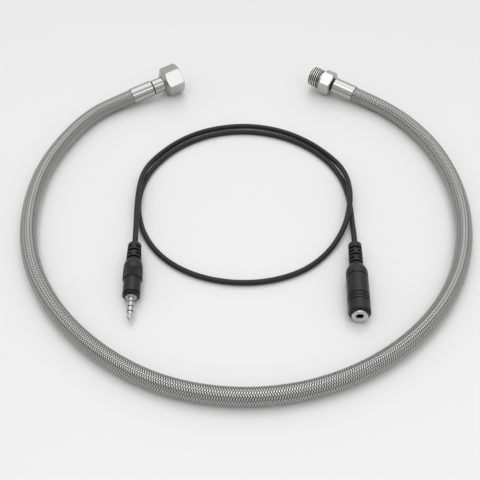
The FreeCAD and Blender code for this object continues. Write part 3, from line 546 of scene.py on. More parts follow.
def profile_rings(corners: Sequence[Corner], angles: np.ndarray,
                  closed: bool) -> tuple[np.ndarray, np.ndarray]:
    """Round a profile's corners and divide its runs, at each angle.

    A corner P becomes the curve (1-t)^2 A + 2t(1-t) P + t^2 B between the places A and B on
    the runs beside it. Each run gets a ring near each of its ends, which keeps it flat.

    Args:
        corners: the profile, over the outside towards +X and back through the bore.
        angles: the angles that the profile is worked out at.
        closed: whether the last corner runs on to the first.

    Returns:
        The rings as (ring, angle, along and radius), and each ring's finish number.
    """
    spots = np.stack([
        np.broadcast_to(np.stack(np.broadcast_arrays(corner.along, corner.radius), -1),
                        (len(angles), 2)) for corner in corners])
    back = np.roll(spots, 1, axis=0) - spots
    onward = np.roll(spots, -1, axis=0) - spots
    rounding = np.array([corner.rounding for corner in corners])[:, None, None]
    reach = np.minimum(rounding, MAX_REACH * np.minimum(lengths(back), lengths(onward)))
    if not closed:
        reach[[0, -1]] = 0.0
    start = spots + back / lengths(back) * reach
    stop = spots + onward / lengths(onward) * reach
    t = np.linspace(0.0, 1.0, ARC_POINTS)[:, None, None, None]
    arcs = (1 - t) ** 2 * start + 2 * t * (1 - t) * spots + t ** 2 * stop
    gap = np.roll(start, -1, axis=0) - stop
    edge = np.minimum(EDGE_GAP / lengths(gap), MAX_EDGE)
    rings = []
    finishes = []
    for k, corner in enumerate(corners):
        rings.append(arcs[:, k])
        finishes.append(np.zeros(ARC_POINTS, dtype=np.int32))
        if closed or k < len(corners) - 1:
            share = np.linspace(0.0, 1.0, corner.steps + 2)[:, None, None]
            share = edge[k] + (1 - 2 * edge[k]) * share
            rings.append(stop[k] + gap[k] * share)
            finishes.append(np.full(corner.steps + 2, corner.finish, dtype=np.int32))
            finishes[-2][-1] = corner.finish
    return np.concatenate(rings), np.concatenate(finishes)


def turned_piece(name: str, end: EndFrame, profile: Sequence[tuple], finishes: Sequence[Finish],
                 angles: np.ndarray | None = None, closed: bool = True,
                 relief: Callable | None = None) -> bpy.types.Object:
    """Turn a profile about an end's axis: Y is radius times cosine, and Z radius times sine.

    Args:
        name: the piece's name.
        end: the frame whose X axis it is turned about.
        profile: its corners' values, in millimetres.
        finishes: its finishes, by the corners' finish numbers.
        angles: the angles of its grid, or none for an even grid.
        closed: whether the profile is a ring; if not, it starts and ends on the axis.
        relief: gives the radius from the place along, the radius and the angle.

    Returns:
        The piece, with its place in the end's frame in the attribute end_mm.
    """
    angles = even_angles(128) if angles is None else angles
    rings, numbers = profile_rings([Corner(*row) for row in profile], angles, closed)
    along, radius = rings[..., 0], rings[..., 1]
    if relief is not None:
        radius = relief(along, radius, angles[None, :])
    local = np.stack([along, radius * np.cos(angles), radius * np.sin(angles)], -1)
    local = local.reshape(-1, 3)
    matrix = end.matrix()
    points = local * MM @ matrix[:3, :3].T + matrix[:3, 3]
    rows, columns = rings.shape[:2]
    mesh = new_mesh(name, points, grid_quads(rows, columns, closed))
    mesh.attributes.new("end_mm", "FLOAT_VECTOR", "POINT").data.foreach_set(
        "vector", local.astype(np.float32).ravel())
    numbers = numbers[:rows if closed else rows - 1]
    mesh.polygons.foreach_set("material_index", np.repeat(numbers, columns))
    if not closed:
        close_poles(mesh)
    return new_object(name, mesh, finishes)


def close_poles(mesh: bpy.types.Mesh) -> None:
    """Merge the points that lie on one another at a turned piece's two poles.

    Args:
        mesh: the mesh to mend.
    """
    work = bmesh.new()
    work.from_mesh(mesh)
    bmesh.ops.remove_doubles(work, verts=work.verts, dist=1e-7)
    work.to_mesh(mesh)
    work.free()


# Shapes that the ends share


@dataclass(frozen=True)
class Hexagon:
    """A hexagonal bar's section, with one corner straight down and slightly rounded corners."""

    flats: float
    corner_round: float = 0.35

    def centre(self) -> float:
        """Return how far the centre of a corner's rounding lies from the axis."""
        return (self.flats / 2 - self.corner_round) / COS_30

    def tangent(self) -> float:
        """Return the angle from a corner to where its rounding meets the flat, in degrees."""
        return math.degrees(math.atan(self.corner_round * 0.5 / (
            self.centre() + self.corner_round * COS_30)))

    def angles(self) -> np.ndarray:
        """Return even angles with more of them at each corner."""
        near = [30 + k * self.tangent() for k in (-1.7, -1.0, -0.5, 0.0, 0.5, 1.0, 1.7)]
        return even_angles(120, near, 6)

    def radius(self, angles: np.ndarray) -> np.ndarray:
        """Return the section's radius: half the flats over a cosine, or the corner's circle.

        Args:
            angles: angles from local Y, in radians.

        Returns:
            The radius at each angle, in millimetres.
        """
        off = np.abs(np.degrees(angles) % 60.0 - 30.0)
        flat = self.flats / 2 / np.cos(np.radians(30.0 - off))
        turn = np.radians(off)
        inside = np.maximum(self.corner_round ** 2 - (self.centre() * np.sin(turn)) ** 2, 0.0)
        corner = self.centre() * np.cos(turn) + np.sqrt(inside)
        return np.where(off < self.tangent(), corner, flat)

    def bevel(self, angles: np.ndarray, face_at: float, face_radius: float,
              depth: float) -> np.ndarray:
        """Return where a cone from the end's face meets the bar at each angle.

        The cone rises from the face's radius to the bar's corners over the depth. Where the
        bar lies inside the face's radius, it reaches the face itself.

        Args:
            angles: angles from local Y, in radians.
            face_at: the face's place along the axis.
            face_radius: the face's radius.
            depth: how far along the cone reaches at the corners; below zero if it goes back.

        Returns:
            The place along the axis at each angle, in millimetres.
        """
        rise = np.maximum(self.radius(angles) - face_radius, 0.0)
        return face_at + rise / (self.flats / 2 / COS_30 - face_radius) * depth


@dataclass(frozen=True)
class Thread:
    """A pipe thread as a helix: rounded crests and roots, and it fades out at both ends."""

    start: float
    stop: float
    height: float
    pitch: float = 1.337
    root_share: float = 0.12
    flank_share: float = 0.6
    fade_start: float = 0.9
    fade_stop: float = 1.1

    def steps(self) -> int:
        """Return how many rings the thread's run needs: sixteen to a turn."""
        return int(16 * (self.stop - self.start) / self.pitch)

    def wave(self, along: np.ndarray, angle: np.ndarray) -> np.ndarray:
        """Return the thread's height over its root.

        The height is a smooth step of how far the phase, the place over the pitch less the
        share of a turn, lies from the middle of the root.

        Args:
            along: places along the axis.
            angle: angles round it.

        Returns:
            Heights in millimetres.
        """
        phase = (along / self.pitch - angle / TURN) % 1.0
        flank = smooth_step((np.abs(phase - 0.5) * 2.0 - self.root_share) / self.flank_share)
        ends = (smooth_step((along - self.start) / self.fade_start)
                * smooth_step((self.stop - along) / self.fade_stop))
        return self.height * flank * ends


class SlotTurn(Enum):
    """Where a boot's slots lie: above and below it, or at its two sides, in degrees."""

    TOP = 90.0
    SIDES = 0.0

    def window(self, angles: np.ndarray, reach: float) -> np.ndarray:
        """Return one inside the slots and zero outside them, over a ramp of 2.5 degrees.

        Args:
            angles: angles from local Y, in radians.
            reach: how many degrees each slot spans.

        Returns:
            The share of the slot's depth at each angle.
        """
        off = np.abs((np.degrees(angles) - self.value + 90.0) % 180.0 - 90.0)
        return smooth_step((reach / 2 - off) / 2.5 + 0.5)


@dataclass(frozen=True)
class Boot:
    """A slotted boot of soft vinyl: a taper with slots by turns on top and at the sides."""

    end: EndFrame
    name: str
    length: float
    front_dia: float
    shell_bore_dia: float
    slot_first: float
    first: SlotTurn
    back_dia: float = 7.25
    back_round: float = 1.0
    slot_pitch: float = 2.56
    slot_len: float = 1.2
    slot_margin: float = 0.5
    slot_floor_dia: float = 4.9
    slot_angle: float = 138.0
    slot_draft: float = 0.06
    neck_dia: float = 5.7
    hole_dia: float = 3.2
    wall: float = 1.8
    lip_len: float = 1.5
    clearance: float = 0.05

    def skin(self, along: float) -> float:
        """Return the taper's radius at a place along the boot."""
        share = (along - self.back_round) / (self.length - self.back_round)
        return (self.back_dia + (self.front_dia - self.back_dia) * share) / 2

    def build(self) -> bpy.types.Object:
        """Turn the boot, with each slot's floor worked out at each angle.

        Returns:
            The boot.
        """
        half = self.slot_angle / 2
        sides = (90.0 - half, 90.0 + half, half, 180.0 - half)
        edges = [side + off for side in sides for off in (-2.0, -0.7, 0.7, 2.0)]
        angles = even_angles(96, edges, 2)
        rows = [(0.0, self.hole_dia / 2, 0.15), (0.0, self.back_dia / 2, self.back_round)]
        turns = [self.first, SlotTurn.SIDES if self.first is SlotTurn.TOP else SlotTurn.TOP]
        room = self.length - self.slot_first - self.slot_len - self.slot_margin
        for k in range(int(room / self.slot_pitch) + 1):
            back = self.slot_first + k * self.slot_pitch
            window = turns[k % 2].window(angles, self.slot_angle)
            for place, draft in ((back, self.slot_draft),
                                 (back + self.slot_len, -self.slot_draft)):
                skin = self.skin(place)
                floor = skin + (self.slot_floor_dia / 2 - skin) * window
                pair = [(place, skin, 0.12), (place + draft, floor, 0.05)]
                rows += pair if draft > 0 else pair[::-1]
        lip = self.shell_bore_dia / 2 - self.clearance
        lip_at = self.length + self.wall
        rows += [(self.length, self.front_dia / 2, 0.1), (self.length, self.neck_dia / 2, 0.05),
                 (lip_at, self.neck_dia / 2, 0.05), (lip_at, lip, 0.05),
                 (lip_at + self.lip_len, lip, 0.05),
                 (lip_at + self.lip_len, self.hole_dia / 2, 0.05)]
        return turned_piece(self.name, self.end, rows, [BOOT_VINYL], angles)


def ride(piece: bpy.types.Object, body: str, slot: str, *nodes: str) -> bpy.types.Object:
    """Put a piece on its body, and hide the solids that it stands for.

    Args:
        piece: the new piece.
        body: the body that it moves with.
        slot: a material slot's name; it is not used.
        nodes: the solids that it replaces.

    Returns:
        The same piece.
    """
    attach(piece, body)
    if nodes:
        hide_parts(*nodes)
    log.info("%s on %s", piece.name, body)
    return piece


# Hose and cable


class Path:
    """A path through points, with its length and directions worked out along it."""

    def __init__(self, points: np.ndarray) -> None:
        """Keep the points, the length up to each of them and the direction at each of them."""
        steps = np.linalg.norm(np.diff(points, axis=0), axis=1)
        self.points = points
        self.reach = np.concatenate([[0.0], np.cumsum(steps)])
        self.length = float(self.reach[-1])
        self.ways = np.gradient(points, self.reach, axis=0)

    def frames(self, places: np.ndarray) -> tuple[np.ndarray, np.ndarray, np.ndarray]:
        """Return points, side directions and up directions at places along the path.

        The side is the direction crossed with +Z, and up is the side crossed with it.

        Args:
            places: lengths from the start, in metres.

        Returns:
            Three arrays of (place, xyz).
        """
        at, way = (np.stack([np.interp(places, self.reach, values[:, k]) for k in range(3)], -1)
                   for values in (self.points, self.ways))
        way /= lengths(way)
        side = np.cross(way, (0.0, 0.0, 1.0))
        side /= lengths(side)
        return at, side, np.cross(side, way)


@dataclass(frozen=True)
class CordLine:
    """A smooth line whose control points are a route's points, and the cord drawn on it."""

    name: str
    route: Sequence[tuple[float, float, float]]
    radius: float
    finish: Finish
    sides: int
    spans: int

    def build(self) -> bpy.types.Object:
        """Make the cord as a curve with a round section.

        Returns:
            The curve object.
        """
        curve = self.line(self.name)
        curve.bevel_depth = self.radius * MM
        curve.bevel_resolution = self.sides
        curve.use_fill_caps = True
        return new_object(self.name, curve, [self.finish])

    def line(self, name: str) -> bpy.types.Curve:
        """Make the bare line: a spline of order three that starts and ends on the route's ends.

        Args:
            name: the curve's name.

        Returns:
            The curve.
        """
        curve = bpy.data.curves.new(name, "CURVE")
        curve.dimensions = "3D"
        curve.resolution_u = self.spans
        curve.render_resolution_u = self.spans
        spline = curve.splines.new("NURBS")
        spline.points.add(len(self.route) - 1)
        points = np.column_stack([np.array(self.route), np.ones(len(self.route))])
        spline.points.foreach_set("co", points.astype(np.float32).ravel())
        spline.order_u = 3
        spline.use_endpoint_u = True
        return curve

    def path(self, lead: float) -> Path:
        """Read the line's own points back, and draw its ends out straight.

        Args:
            lead: how far to draw each end out, in millimetres.

        Returns:
            The path, for what follows the cord.
        """
        bare = bpy.data.objects.new(f"{self.name}_bare", self.line(f"{self.name}_bare"))
        mesh = bpy.data.meshes.new_from_object(bare)
        points = np.empty(len(mesh.vertices) * 3, dtype=np.float32)
        mesh.vertices.foreach_get("co", points)
        points = points.reshape(-1, 3).astype(float)
        bpy.data.objects.remove(bare)
        bpy.data.meshes.remove(mesh)
        first, last = points[0] - points[1], points[-1] - points[-2]
        first *= lead * MM / np.linalg.norm(first)
        last *= lead * MM / np.linalg.norm(last)
        return Path(np.vstack([points[0] + first, points, points[-1] + last]))


@dataclass(frozen=True)
class Braid:
    """The wire braid: flat bands of wire wound both ways, over one and under one.

    A band's radius swings by the weave's depth with the cosine of its place over the
    distance between crossings, and the bands of the other hand swing the other way. The
    crown is the height of a band's skin across it, as shares of its thickness.
    """

    path: Path
    bands: int = 9
    lay: float = 11.0
    radius: float = 4.5
    swing: float = 0.1
    width: float = 1.0
    thickness: float = 0.2
    crown: tuple[float, ...] = (0.0, 0.95, 1.0, 0.95, 0.0)
    steps_per_crossing: int = 4
    parts: int = 4

    def build(self) -> list[bpy.types.Object]:
        """Make the bands of each hand, in stretches along the hose.

        Returns:
            The stretches, right-hand ones first.
        """
        crossings = int(self.path.length / MM / self.lay * self.bands * 2)
        crossings -= crossings % self.parts
        step = self.lay / (2 * self.bands * self.steps_per_crossing) * MM
        per_part = crossings // self.parts * self.steps_per_crossing
        return [self.stretch(f"braid_{label}_{part + 1}", hand,
                             (np.arange(per_part + 1) + part * per_part) * step)
                for label, hand in (("right", 1), ("left", -1)) for part in range(self.parts)]

    def stretch(self, name: str, hand: int, places: np.ndarray) -> bpy.types.Object:
        """Make the bands of one hand over one stretch, as closed strips with a crowned top.

        The angle of band k is the hand times a turn per lay, plus k shares of a turn. Across
        the band, the angle shifts by the width over the radius, along the band's own normal,
        which lies partly along the hose. The arrays go by band, place and across.

        Args:
            name: the piece's name.
            hand: one for right-hand bands, and minus one for left-hand bands.
            places: where its rows of points lie, in metres from the path's start.

        Returns:
            The piece.
        """
        rows, columns = len(places), len(self.crown)
        places = places[:, None]
        turn = TURN / (self.lay * MM)
        slant = math.atan2(self.radius * MM * turn, 1.0)
        share = np.linspace(0.0, 1.0, columns)
        across = (share - 0.5) * self.width * MM
        swing = hand * self.swing * np.cos(TURN * places * self.bands / (self.lay * MM))
        starts = np.arange(self.bands)[:, None, None] * TURN / self.bands
        angle = (starts + hand * turn * places
                 + across * math.cos(slant) / (self.radius * MM))
        radius = ((self.radius + swing) * MM
                  + (np.array(self.crown) - 0.5) * self.thickness * MM)
        spot = np.broadcast_to(places - hand * across * math.sin(slant), angle.shape)
        at, side, up = self.path.frames(np.clip(spot, 0.0, self.path.length).ravel())
        points = (at + side * (radius * np.cos(angle)).reshape(-1, 1)
                  + up * (radius * np.sin(angle)).reshape(-1, 1))
        # The band's faces point outwards when each is taken the other way round
        strip = grid_quads(rows, columns, False)[:, [0, 3, 2, 1]]
        bands = np.arange(self.bands)[:, None, None] * rows * columns
        quads = (bands + strip).reshape(-1, 4)
        mesh = new_mesh(name, points, quads)
        mark = np.stack([np.broadcast_to(value, angle.shape) for value in (share, places / MM)],
                        -1).reshape(-1, 2)
        mesh.uv_layers.new(name="band").data.foreach_set(
            "uv", mark[quads].astype(np.float32).ravel())
        lift = np.broadcast_to(swing / self.swing / 2 + 0.5, angle.shape)
        mesh.attributes.new("lift", "FLOAT", "POINT").data.foreach_set(
            "value", lift.astype(np.float32).ravel())
        return new_object(name, mesh, [BRAID_WIRE])


@dataclass(frozen=True)
class Hose:
    """The hose between its two ferrules: a black core under the wire braid."""

    diameter: float = 9.4
    core_dia: float = 8.4
    length: float = 641.0
    lead: float = 4.0

    def build(self) -> None:
        line = CordLine("hose_core", HOSE_ROUTE, self.core_dia / 2, HOSE_RUBBER, 10, 24)
        core = ride(line.build(), "hose", "hose_rubber", "hose_braid", "hose_liner")
        braid = [ride(piece, "hose", "steel_braid")
                 for piece in Braid(line.path(self.lead)).build()]


@dataclass(frozen=True)
class Cable:
    """The black extension cable, from the plug's boot to the socket's boot."""

    diameter: float = 3.1
    length: float = 686.0

    def build(self) -> None:
        line = CordLine("cable", CORD_ROUTE, self.diameter / 2, CABLE_VINYL, 8, 16)
        cable = ride(line.build(), "cable", "cable_vinyl", "cable_jacket", "cable_cores")


# Ends of the hose


@dataclass(frozen=True)
class HoseEnd:
    """What both ends of the hose share: the crimped ferrule, the liner and the stem."""

    end: EndFrame
    label: str
    ferrule_len: float = 14.7
    ferrule_in: float = 4.75
    ferrule_out: float = 5.3
    liner_tail: float = 5.0
    liner_out: float = 4.05
    liner_in: float = 2.95
    stem_start: float = 1.5
    stem_radius: float = 2.7
    water_radius: float = 2.0

    def sleeve(self, face_at: float) -> None:
        """Make the ferrule, and the liner that shows between it and the nipple's face.

        Args:
            face_at: the place of the nipple's face along the axis.
        """
        ferrule = [(0.0, self.ferrule_in), (0.0, self.ferrule_out, 0.35),
                   (self.ferrule_len, self.ferrule_out, 0.35, 6),
                   (self.ferrule_len, self.ferrule_in)]
        node = f"{self.label}_ferrule"
        ride(turned_piece(f"{node}_tube", self.end, ferrule, [POLISHED_STEEL]),
             "hose", "polished_steel", node)
        back = self.ferrule_len - self.liner_tail
        liner = [(back, self.liner_in), (back, self.liner_out), (face_at, self.liner_out),
                 (face_at, self.liner_in)]
        ride(turned_piece(f"{self.label}_liner", self.end, liner, [HOSE_RUBBER]),
             "hose", "hose_rubber")

    def stem(self, face_at: float) -> list[tuple]:
        """Return the profile's start: the stem in the liner, up to the nipple's face."""
        return [(self.stem_start, self.water_radius), (self.stem_start, self.stem_radius),
                (face_at, self.stem_radius)]


@dataclass(frozen=True)
class UnionEnd(HoseEnd):
    """The end with the loose union nut."""

    neck_at: float = 15.4
    neck_radius: float = 4.85
    flange_back: float = 26.2
    flange_front: float = 28.0
    flange_radius: float = 5.5
    nut_back: float = 22.7
    nut_front: float = 35.3
    nut_back_radius: float = 5.9
    nut_front_radius: float = 8.8
    edge_break: float = 0.12
    cone_len: float = 2.4
    bevel_len: float = 0.9
    hole_radius: float = 5.1
    groove_radius: float = 5.55
    groove_back: float = 23.45
    groove_front: float = 25.05
    shoulder: float = 26.1
    relief_radius: float = 6.75
    thread_at: float = 29.9
    thread_root: float = 6.64
    thread_height: float = 0.917
    mouth_radius: float = 6.9
    mouth_len: float = 0.25
    section: Hexagon = Hexagon(17.0)

    def build(self) -> None:
        """Make the ferrule, the nipple's neck and collar, and the nut."""
        self.sleeve(self.neck_at)
        nipple = self.stem(self.neck_at) + [
            (self.neck_at, self.neck_radius, 0.35), (self.flange_back, self.neck_radius, 0.05),
            (self.flange_back, self.flange_radius, 0.2),
            (self.flange_front, self.flange_radius, 0.2),
            (self.flange_front, self.water_radius, 0.3)]
        ride(turned_piece("union_nipple_turned", self.end, nipple, [POLISHED_STEEL]),
             "hose", "polished_steel", "union_nipple")
        self.nut()

    def nut(self) -> None:
        """Make the nut: its bevels follow from where their cones meet the hexagon."""
        angles = self.section.angles()
        bar = self.section.radius(angles)
        back = self.section.bevel(angles, self.nut_back, self.nut_back_radius, self.cone_len)
        front = self.section.bevel(angles, self.nut_front, self.nut_front_radius,
                                   -self.bevel_len)
        front = np.minimum(front, self.nut_front - self.edge_break)
        face = np.minimum(bar - self.edge_break, self.nut_front_radius)
        thread = Thread(self.thread_at, self.nut_front, self.thread_height, fade_start=0.5)
        rows = [
            (self.nut_back, self.hole_radius, 0.15), (self.nut_back, self.nut_back_radius, 0.15),
            (back, bar, 0.12, 0, 1), (front, bar), (self.nut_front, face, 0.05),
            (self.nut_front, self.mouth_radius),
            (self.nut_front - self.mouth_len, self.thread_root, 0.05, thread.steps()),
            (self.thread_at, self.thread_root, 0.05), (self.thread_at, self.relief_radius, 0.05),
            (self.shoulder, self.relief_radius, 0.15), (self.shoulder, self.hole_radius),
            (self.groove_front, self.hole_radius, 0.05),
            (self.groove_front, self.groove_radius, 0.05),
            (self.groove_back, self.groove_radius, 0.05),
            (self.groove_back, self.hole_radius, 0.05)]

        def bored(along: np.ndarray, radius: np.ndarray, angle: np.ndarray) -> np.ndarray:
            """Lower the bore's radius by the thread's height, inside the nut's mouth."""
            inside = ((radius < self.mouth_radius) & (along > self.thread_at)
                      & (radius > self.hole_radius + 0.1))
            return np.where(inside, radius - thread.wave(along, angle), radius)

        ride(turned_piece("union_nut_turned", self.end, rows, [TURNED_STEEL, DRAWN_STEEL],
                          angles, relief=bored), "union_nut", "turned_steel", "union_nut")


@dataclass(frozen=True)
class MaleEnd(HoseEnd):
    """The end with the hexagon and the outer thread."""

    hex_back: float = 15.9
    hex_front: float = 23.7
    face_radius: float = 6.3
    back_bevel: float = 1.0
    front_bevel: float = 0.6
    thread_at: float = 24.9
    front: float = 32.3
    root_radius: float = 5.6025
    thread_height: float = 0.976
    seat_radius: float = 3.3
    seat_len: float = 1.4
    section: Hexagon = Hexagon(14.0, 0.3)

    def build(self) -> None:
        """Make the ferrule and the nipple, whose thread is a helix over its root."""
        self.sleeve(self.hex_back)
        angles = self.section.angles()
        bar = self.section.radius(angles)
        back = self.section.bevel(angles, self.hex_back, self.face_radius, self.back_bevel)
        front = self.section.bevel(angles, self.hex_front, self.face_radius, -self.front_bevel)
        thread = Thread(self.thread_at, self.front, self.thread_height)
        rows = self.stem(self.hex_back) + [
            (self.hex_back, self.face_radius, 0.15), (back, bar, 0.12, 0, 1), (front, bar),
            (self.hex_front, self.face_radius), (self.hex_front, self.root_radius),
            (self.thread_at, self.root_radius, 0.05, thread.steps(), 2),
            (self.front, self.root_radius, 0.3), (self.front, self.seat_radius),
            (self.front - self.seat_len, self.water_radius)]

        def threaded(along: np.ndarray, radius: np.ndarray, angle: np.ndarray) -> np.ndarray:
            """Raise the outside by the thread's height, in front of the hexagon."""
            outside = (radius > self.root_radius - 0.3) & (along > self.thread_at)
            return np.where(outside, radius + thread.wave(along, angle), radius)

        ride(turned_piece("male_nipple_turned", self.end, rows,
                          [TURNED_STEEL, DRAWN_STEEL, THREAD_STEEL], angles, relief=threaded),
             "hose", "turned_steel", "male_nipple")


# Ends of the cable


@dataclass(frozen=True)
class CableEnd:
    """What both ends of the cable share: a slotted boot, and a shell bored out inside."""

    end: EndFrame
    label: str
    boot_len: float
    boot_dia: float
    slot_first: float
    first_slot: SlotTurn
    back_radius: float
    front: float
    front_wall: float
    bore_radius: float
    hole_radius: float
    hole_round: float
    back_wall: float = 1.8
    neck_radius: float = 2.9

    def boot(self) -> None:
        """Make the boot."""
        boot = Boot(self.end, f"{self.label}_boot_slotted", self.boot_len, self.boot_dia,
                    self.bore_radius * 2, self.slot_first, self.first_slot)
        ride(boot.build(), "cable", "boot_vinyl", f"{self.label}_boot")

    def shell(self, outside: Sequence[tuple], angles: np.ndarray | None = None) -> None:
        """Make the shell: over its outside to the front, and back through hole and bore.

        Args:
            outside: the profile's rows between the back face and the front hole.
            angles: the angles of its grid, or none for an even grid.
        """
        wall = self.front - self.front_wall
        back = self.boot_len + self.back_wall
        rows = [(self.boot_len, self.neck_radius), (self.boot_len, self.back_radius, 0.3),
                *outside,
                (self.front, self.hole_radius, self.hole_round),
                (wall, self.hole_radius, self.hole_round), (wall, self.bore_radius),
                (back, self.bore_radius), (back, self.neck_radius)]
        ride(turned_piece(f"{self.label}_shell_moulded", self.end, rows, [SHELL_PLASTIC], angles),
             "cable", "shell_plastic", f"{self.label}_shell")


@dataclass(frozen=True)
class Plug(CableEnd):
    """The jack plug: a slotted boot, a shell with a grip band, and the four-contact shaft.

    The front of the band is finely ribbed, and its back is smooth.
    """

    end: EndFrame = PLUG_END
    label: str = "plug"
    boot_len: float = 12.3
    boot_dia: float = 8.3
    slot_first: float = 2.8
    first_slot: SlotTurn = SlotTurn.SIDES
    back_radius: float = 4.25
    front: float = 36.1
    front_wall: float = 2.4
    bore_radius: float = 3.8
    hole_radius: float = 2.05
    hole_round: float = 0.1
    swell_at: float = 14.0
    swell_radius: float = 4.75
    band_at: float = 16.0
    band_radius: float = 5.2
    ribs_at: float = 19.2
    band_ribs: int = 40
    rib_depth: float = 0.35
    barrel_at: float = 24.9
    barrel_radius: float = 4.65
    groove_at: float = 34.2
    groove_len: float = 0.7
    groove_radius: float = 4.0
    nose_at: float = 35.3
    nose_radius: float = 3.3
    pin_radius: float = 1.75
    rod_radius: float = 0.45
    rod_tail: float = 25.2
    tip_at: float = 45.85
    tip_len: float = 4.75
    tip_neck: float = 0.4
    waist_at: float = 1.4
    waist_radius: float = 1.2
    ball_at: float = 3.0
    ball_radius: float = 1.6
    blunt_radius: float = 0.55

    def build(self) -> None:
        """Make the boot, the shell and the tip. Between ribs the band falls by a cosine."""
        self.boot()
        angles = even_angles(self.band_ribs * 8)
        valley = (0.5 - 0.5 * np.cos(self.band_ribs * angles)) ** 2
        band = self.band_radius - self.rib_depth * valley
        groove_front = self.groove_at + self.groove_len
        self.shell([
            (self.swell_at, self.swell_radius, 0.8), (self.band_at, self.band_radius, 0.6),
            (self.ribs_at, self.band_radius, 0.05), (self.ribs_at + 0.1, band, 0.05),
            (self.barrel_at, band, 0.15), (self.barrel_at, self.barrel_radius),
            (self.groove_at, self.barrel_radius, 0.15), (self.groove_at, self.groove_radius, 0.05),
            (groove_front, self.groove_radius, 0.05), (groove_front, self.barrel_radius, 0.12),
            (self.nose_at, self.barrel_radius, 0.3), (self.front, self.nose_radius, 0.2)], angles)
        ride(self.tip(), "cable", "nickel_plate", "plug_tip")

    def tip(self) -> bpy.types.Object:
        """Make the tip: a neck, a rounded waist, a ball and a blunt nose, with its rod.

        Returns:
            The tip.
        """
        at, nose = self.tip_at, self.tip_at + self.tip_len
        rows = [(self.rod_tail, 0.0), (self.rod_tail, self.rod_radius, 0.05),
                (at, self.rod_radius, 0.05), (at, self.pin_radius, 0.08),
                (at + self.tip_neck, self.pin_radius, 0.2),
                (at + self.waist_at, self.waist_radius, 0.4),
                (at + self.ball_at, self.ball_radius, 0.6), (nose, self.blunt_radius, 0.4),
                (nose, 0.0)]
        return turned_piece("plug_tip_turned", self.end, rows, [NICKEL_PLATE], even_angles(64),
                            closed=False)


@dataclass(frozen=True)
class Jack(CableEnd):
    """The inline socket: a slotted boot, a grooved shell and a bright bush."""

    end: EndFrame = JACK_END
    label: str = "jack"
    boot_len: float = 16.4
    boot_dia: float = 7.6
    slot_first: float = 3.85
    first_slot: SlotTurn = SlotTurn.TOP
    back_radius: float = 4.2
    front: float = 48.7
    front_wall: float = 1.9
    bore_radius: float = 4.5
    hole_radius: float = 3.55
    hole_round: float = 0.05
    swell_at: float = 18.0
    swell_radius: float = 5.0
    crown_at: float = 19.7
    crown_radius: float = 5.65
    barrel_at: float = 20.8
    radius: float = 5.85
    barrel_front: float = 47.9
    edge: float = 0.8
    grooves: tuple[float, ...] = (24.65, 37.94, 40.02, 42.1)
    groove_len: float = 0.7
    groove_depth: float = 0.35
    shank_radius: float = 3.5
    bush_face: float = 50.2
    bush_back: float = 47.1
    bush_radius: float = 4.2
    bush_bore: float = 1.8
    sink_radius: float = 2.4
    sink_len: float = 0.6

    def build(self) -> None:
        """Make the boot, the shell and the bush."""
        self.boot()
        rows = [(self.swell_at, self.swell_radius, 0.7), (self.crown_at, self.crown_radius, 0.5),
                (self.barrel_at, self.radius, 0.5)]
        floor = self.radius - self.groove_depth
        for place in self.grooves:
            back = place - self.groove_len
            rows += [(back, self.radius, 0.08), (back, floor, 0.06), (place, floor, 0.06),
                     (place, self.radius, 0.08)]
        self.shell(rows + [(self.barrel_front, self.radius, 0.4),
                           (self.front, self.radius - self.edge, 0.25)])
        bush = [(self.bush_back, self.bush_bore, 0.05), (self.bush_back, self.shank_radius),
                (self.front, self.shank_radius, 0.03), (self.front, self.bush_radius),
                (self.bush_face, self.bush_radius, 0.5), (self.bush_face, self.sink_radius, 0.15),
                (self.bush_face - self.sink_len, self.bush_bore, 0.15)]
        ride(turned_piece("jack_bush_turned", self.end, bush, [NICKEL_PLATE]),
             "cable", "nickel_plate", "jack_bush")


# The small solids keep their shape; each finish goes on these
KEPT = {
    HOSE_RUBBER: ("union_gasket",),
    POLISHED_STEEL: ("nut_guide_ring",),
    NICKEL_PLATE: ("plug_ring_1", "plug_ring_2", "plug_sleeve", "plug_cord_clamp",
                   "jack_cord_clamp"),
    INSULATOR: ("plug_insulator_1", "plug_insulator_2", "plug_insulator_3",
                "plug_inner_mould", "jack_insert", "jack_wire_mould"),
    SPRING_BRONZE: ("jack_tip_spring", "jack_ring_1_spring", "jack_ring_2_spring"),
}


def dress_kept_solids() -> None:
    """Give each solid that keeps its shape its material."""
    for finish, names in KEPT.items():
        for name in names:
            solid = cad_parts[name]
            solid.data.materials.clear()
            solid.data.materials.append(finish.material())
            log.info("%s dressed", name)


# Studio


def grey(level: float) -> tuple[float, float, float, float]:
    """Return a linear grey of the level."""
    return (level, level, level, 1.0)


class Lamp(NamedTuple):
    """A wide soft lamp over the set: its place and size in metres, and its power in watts."""

    name: str
    place: tuple[float, float, float]
    size: tuple[float, float]
    power: float


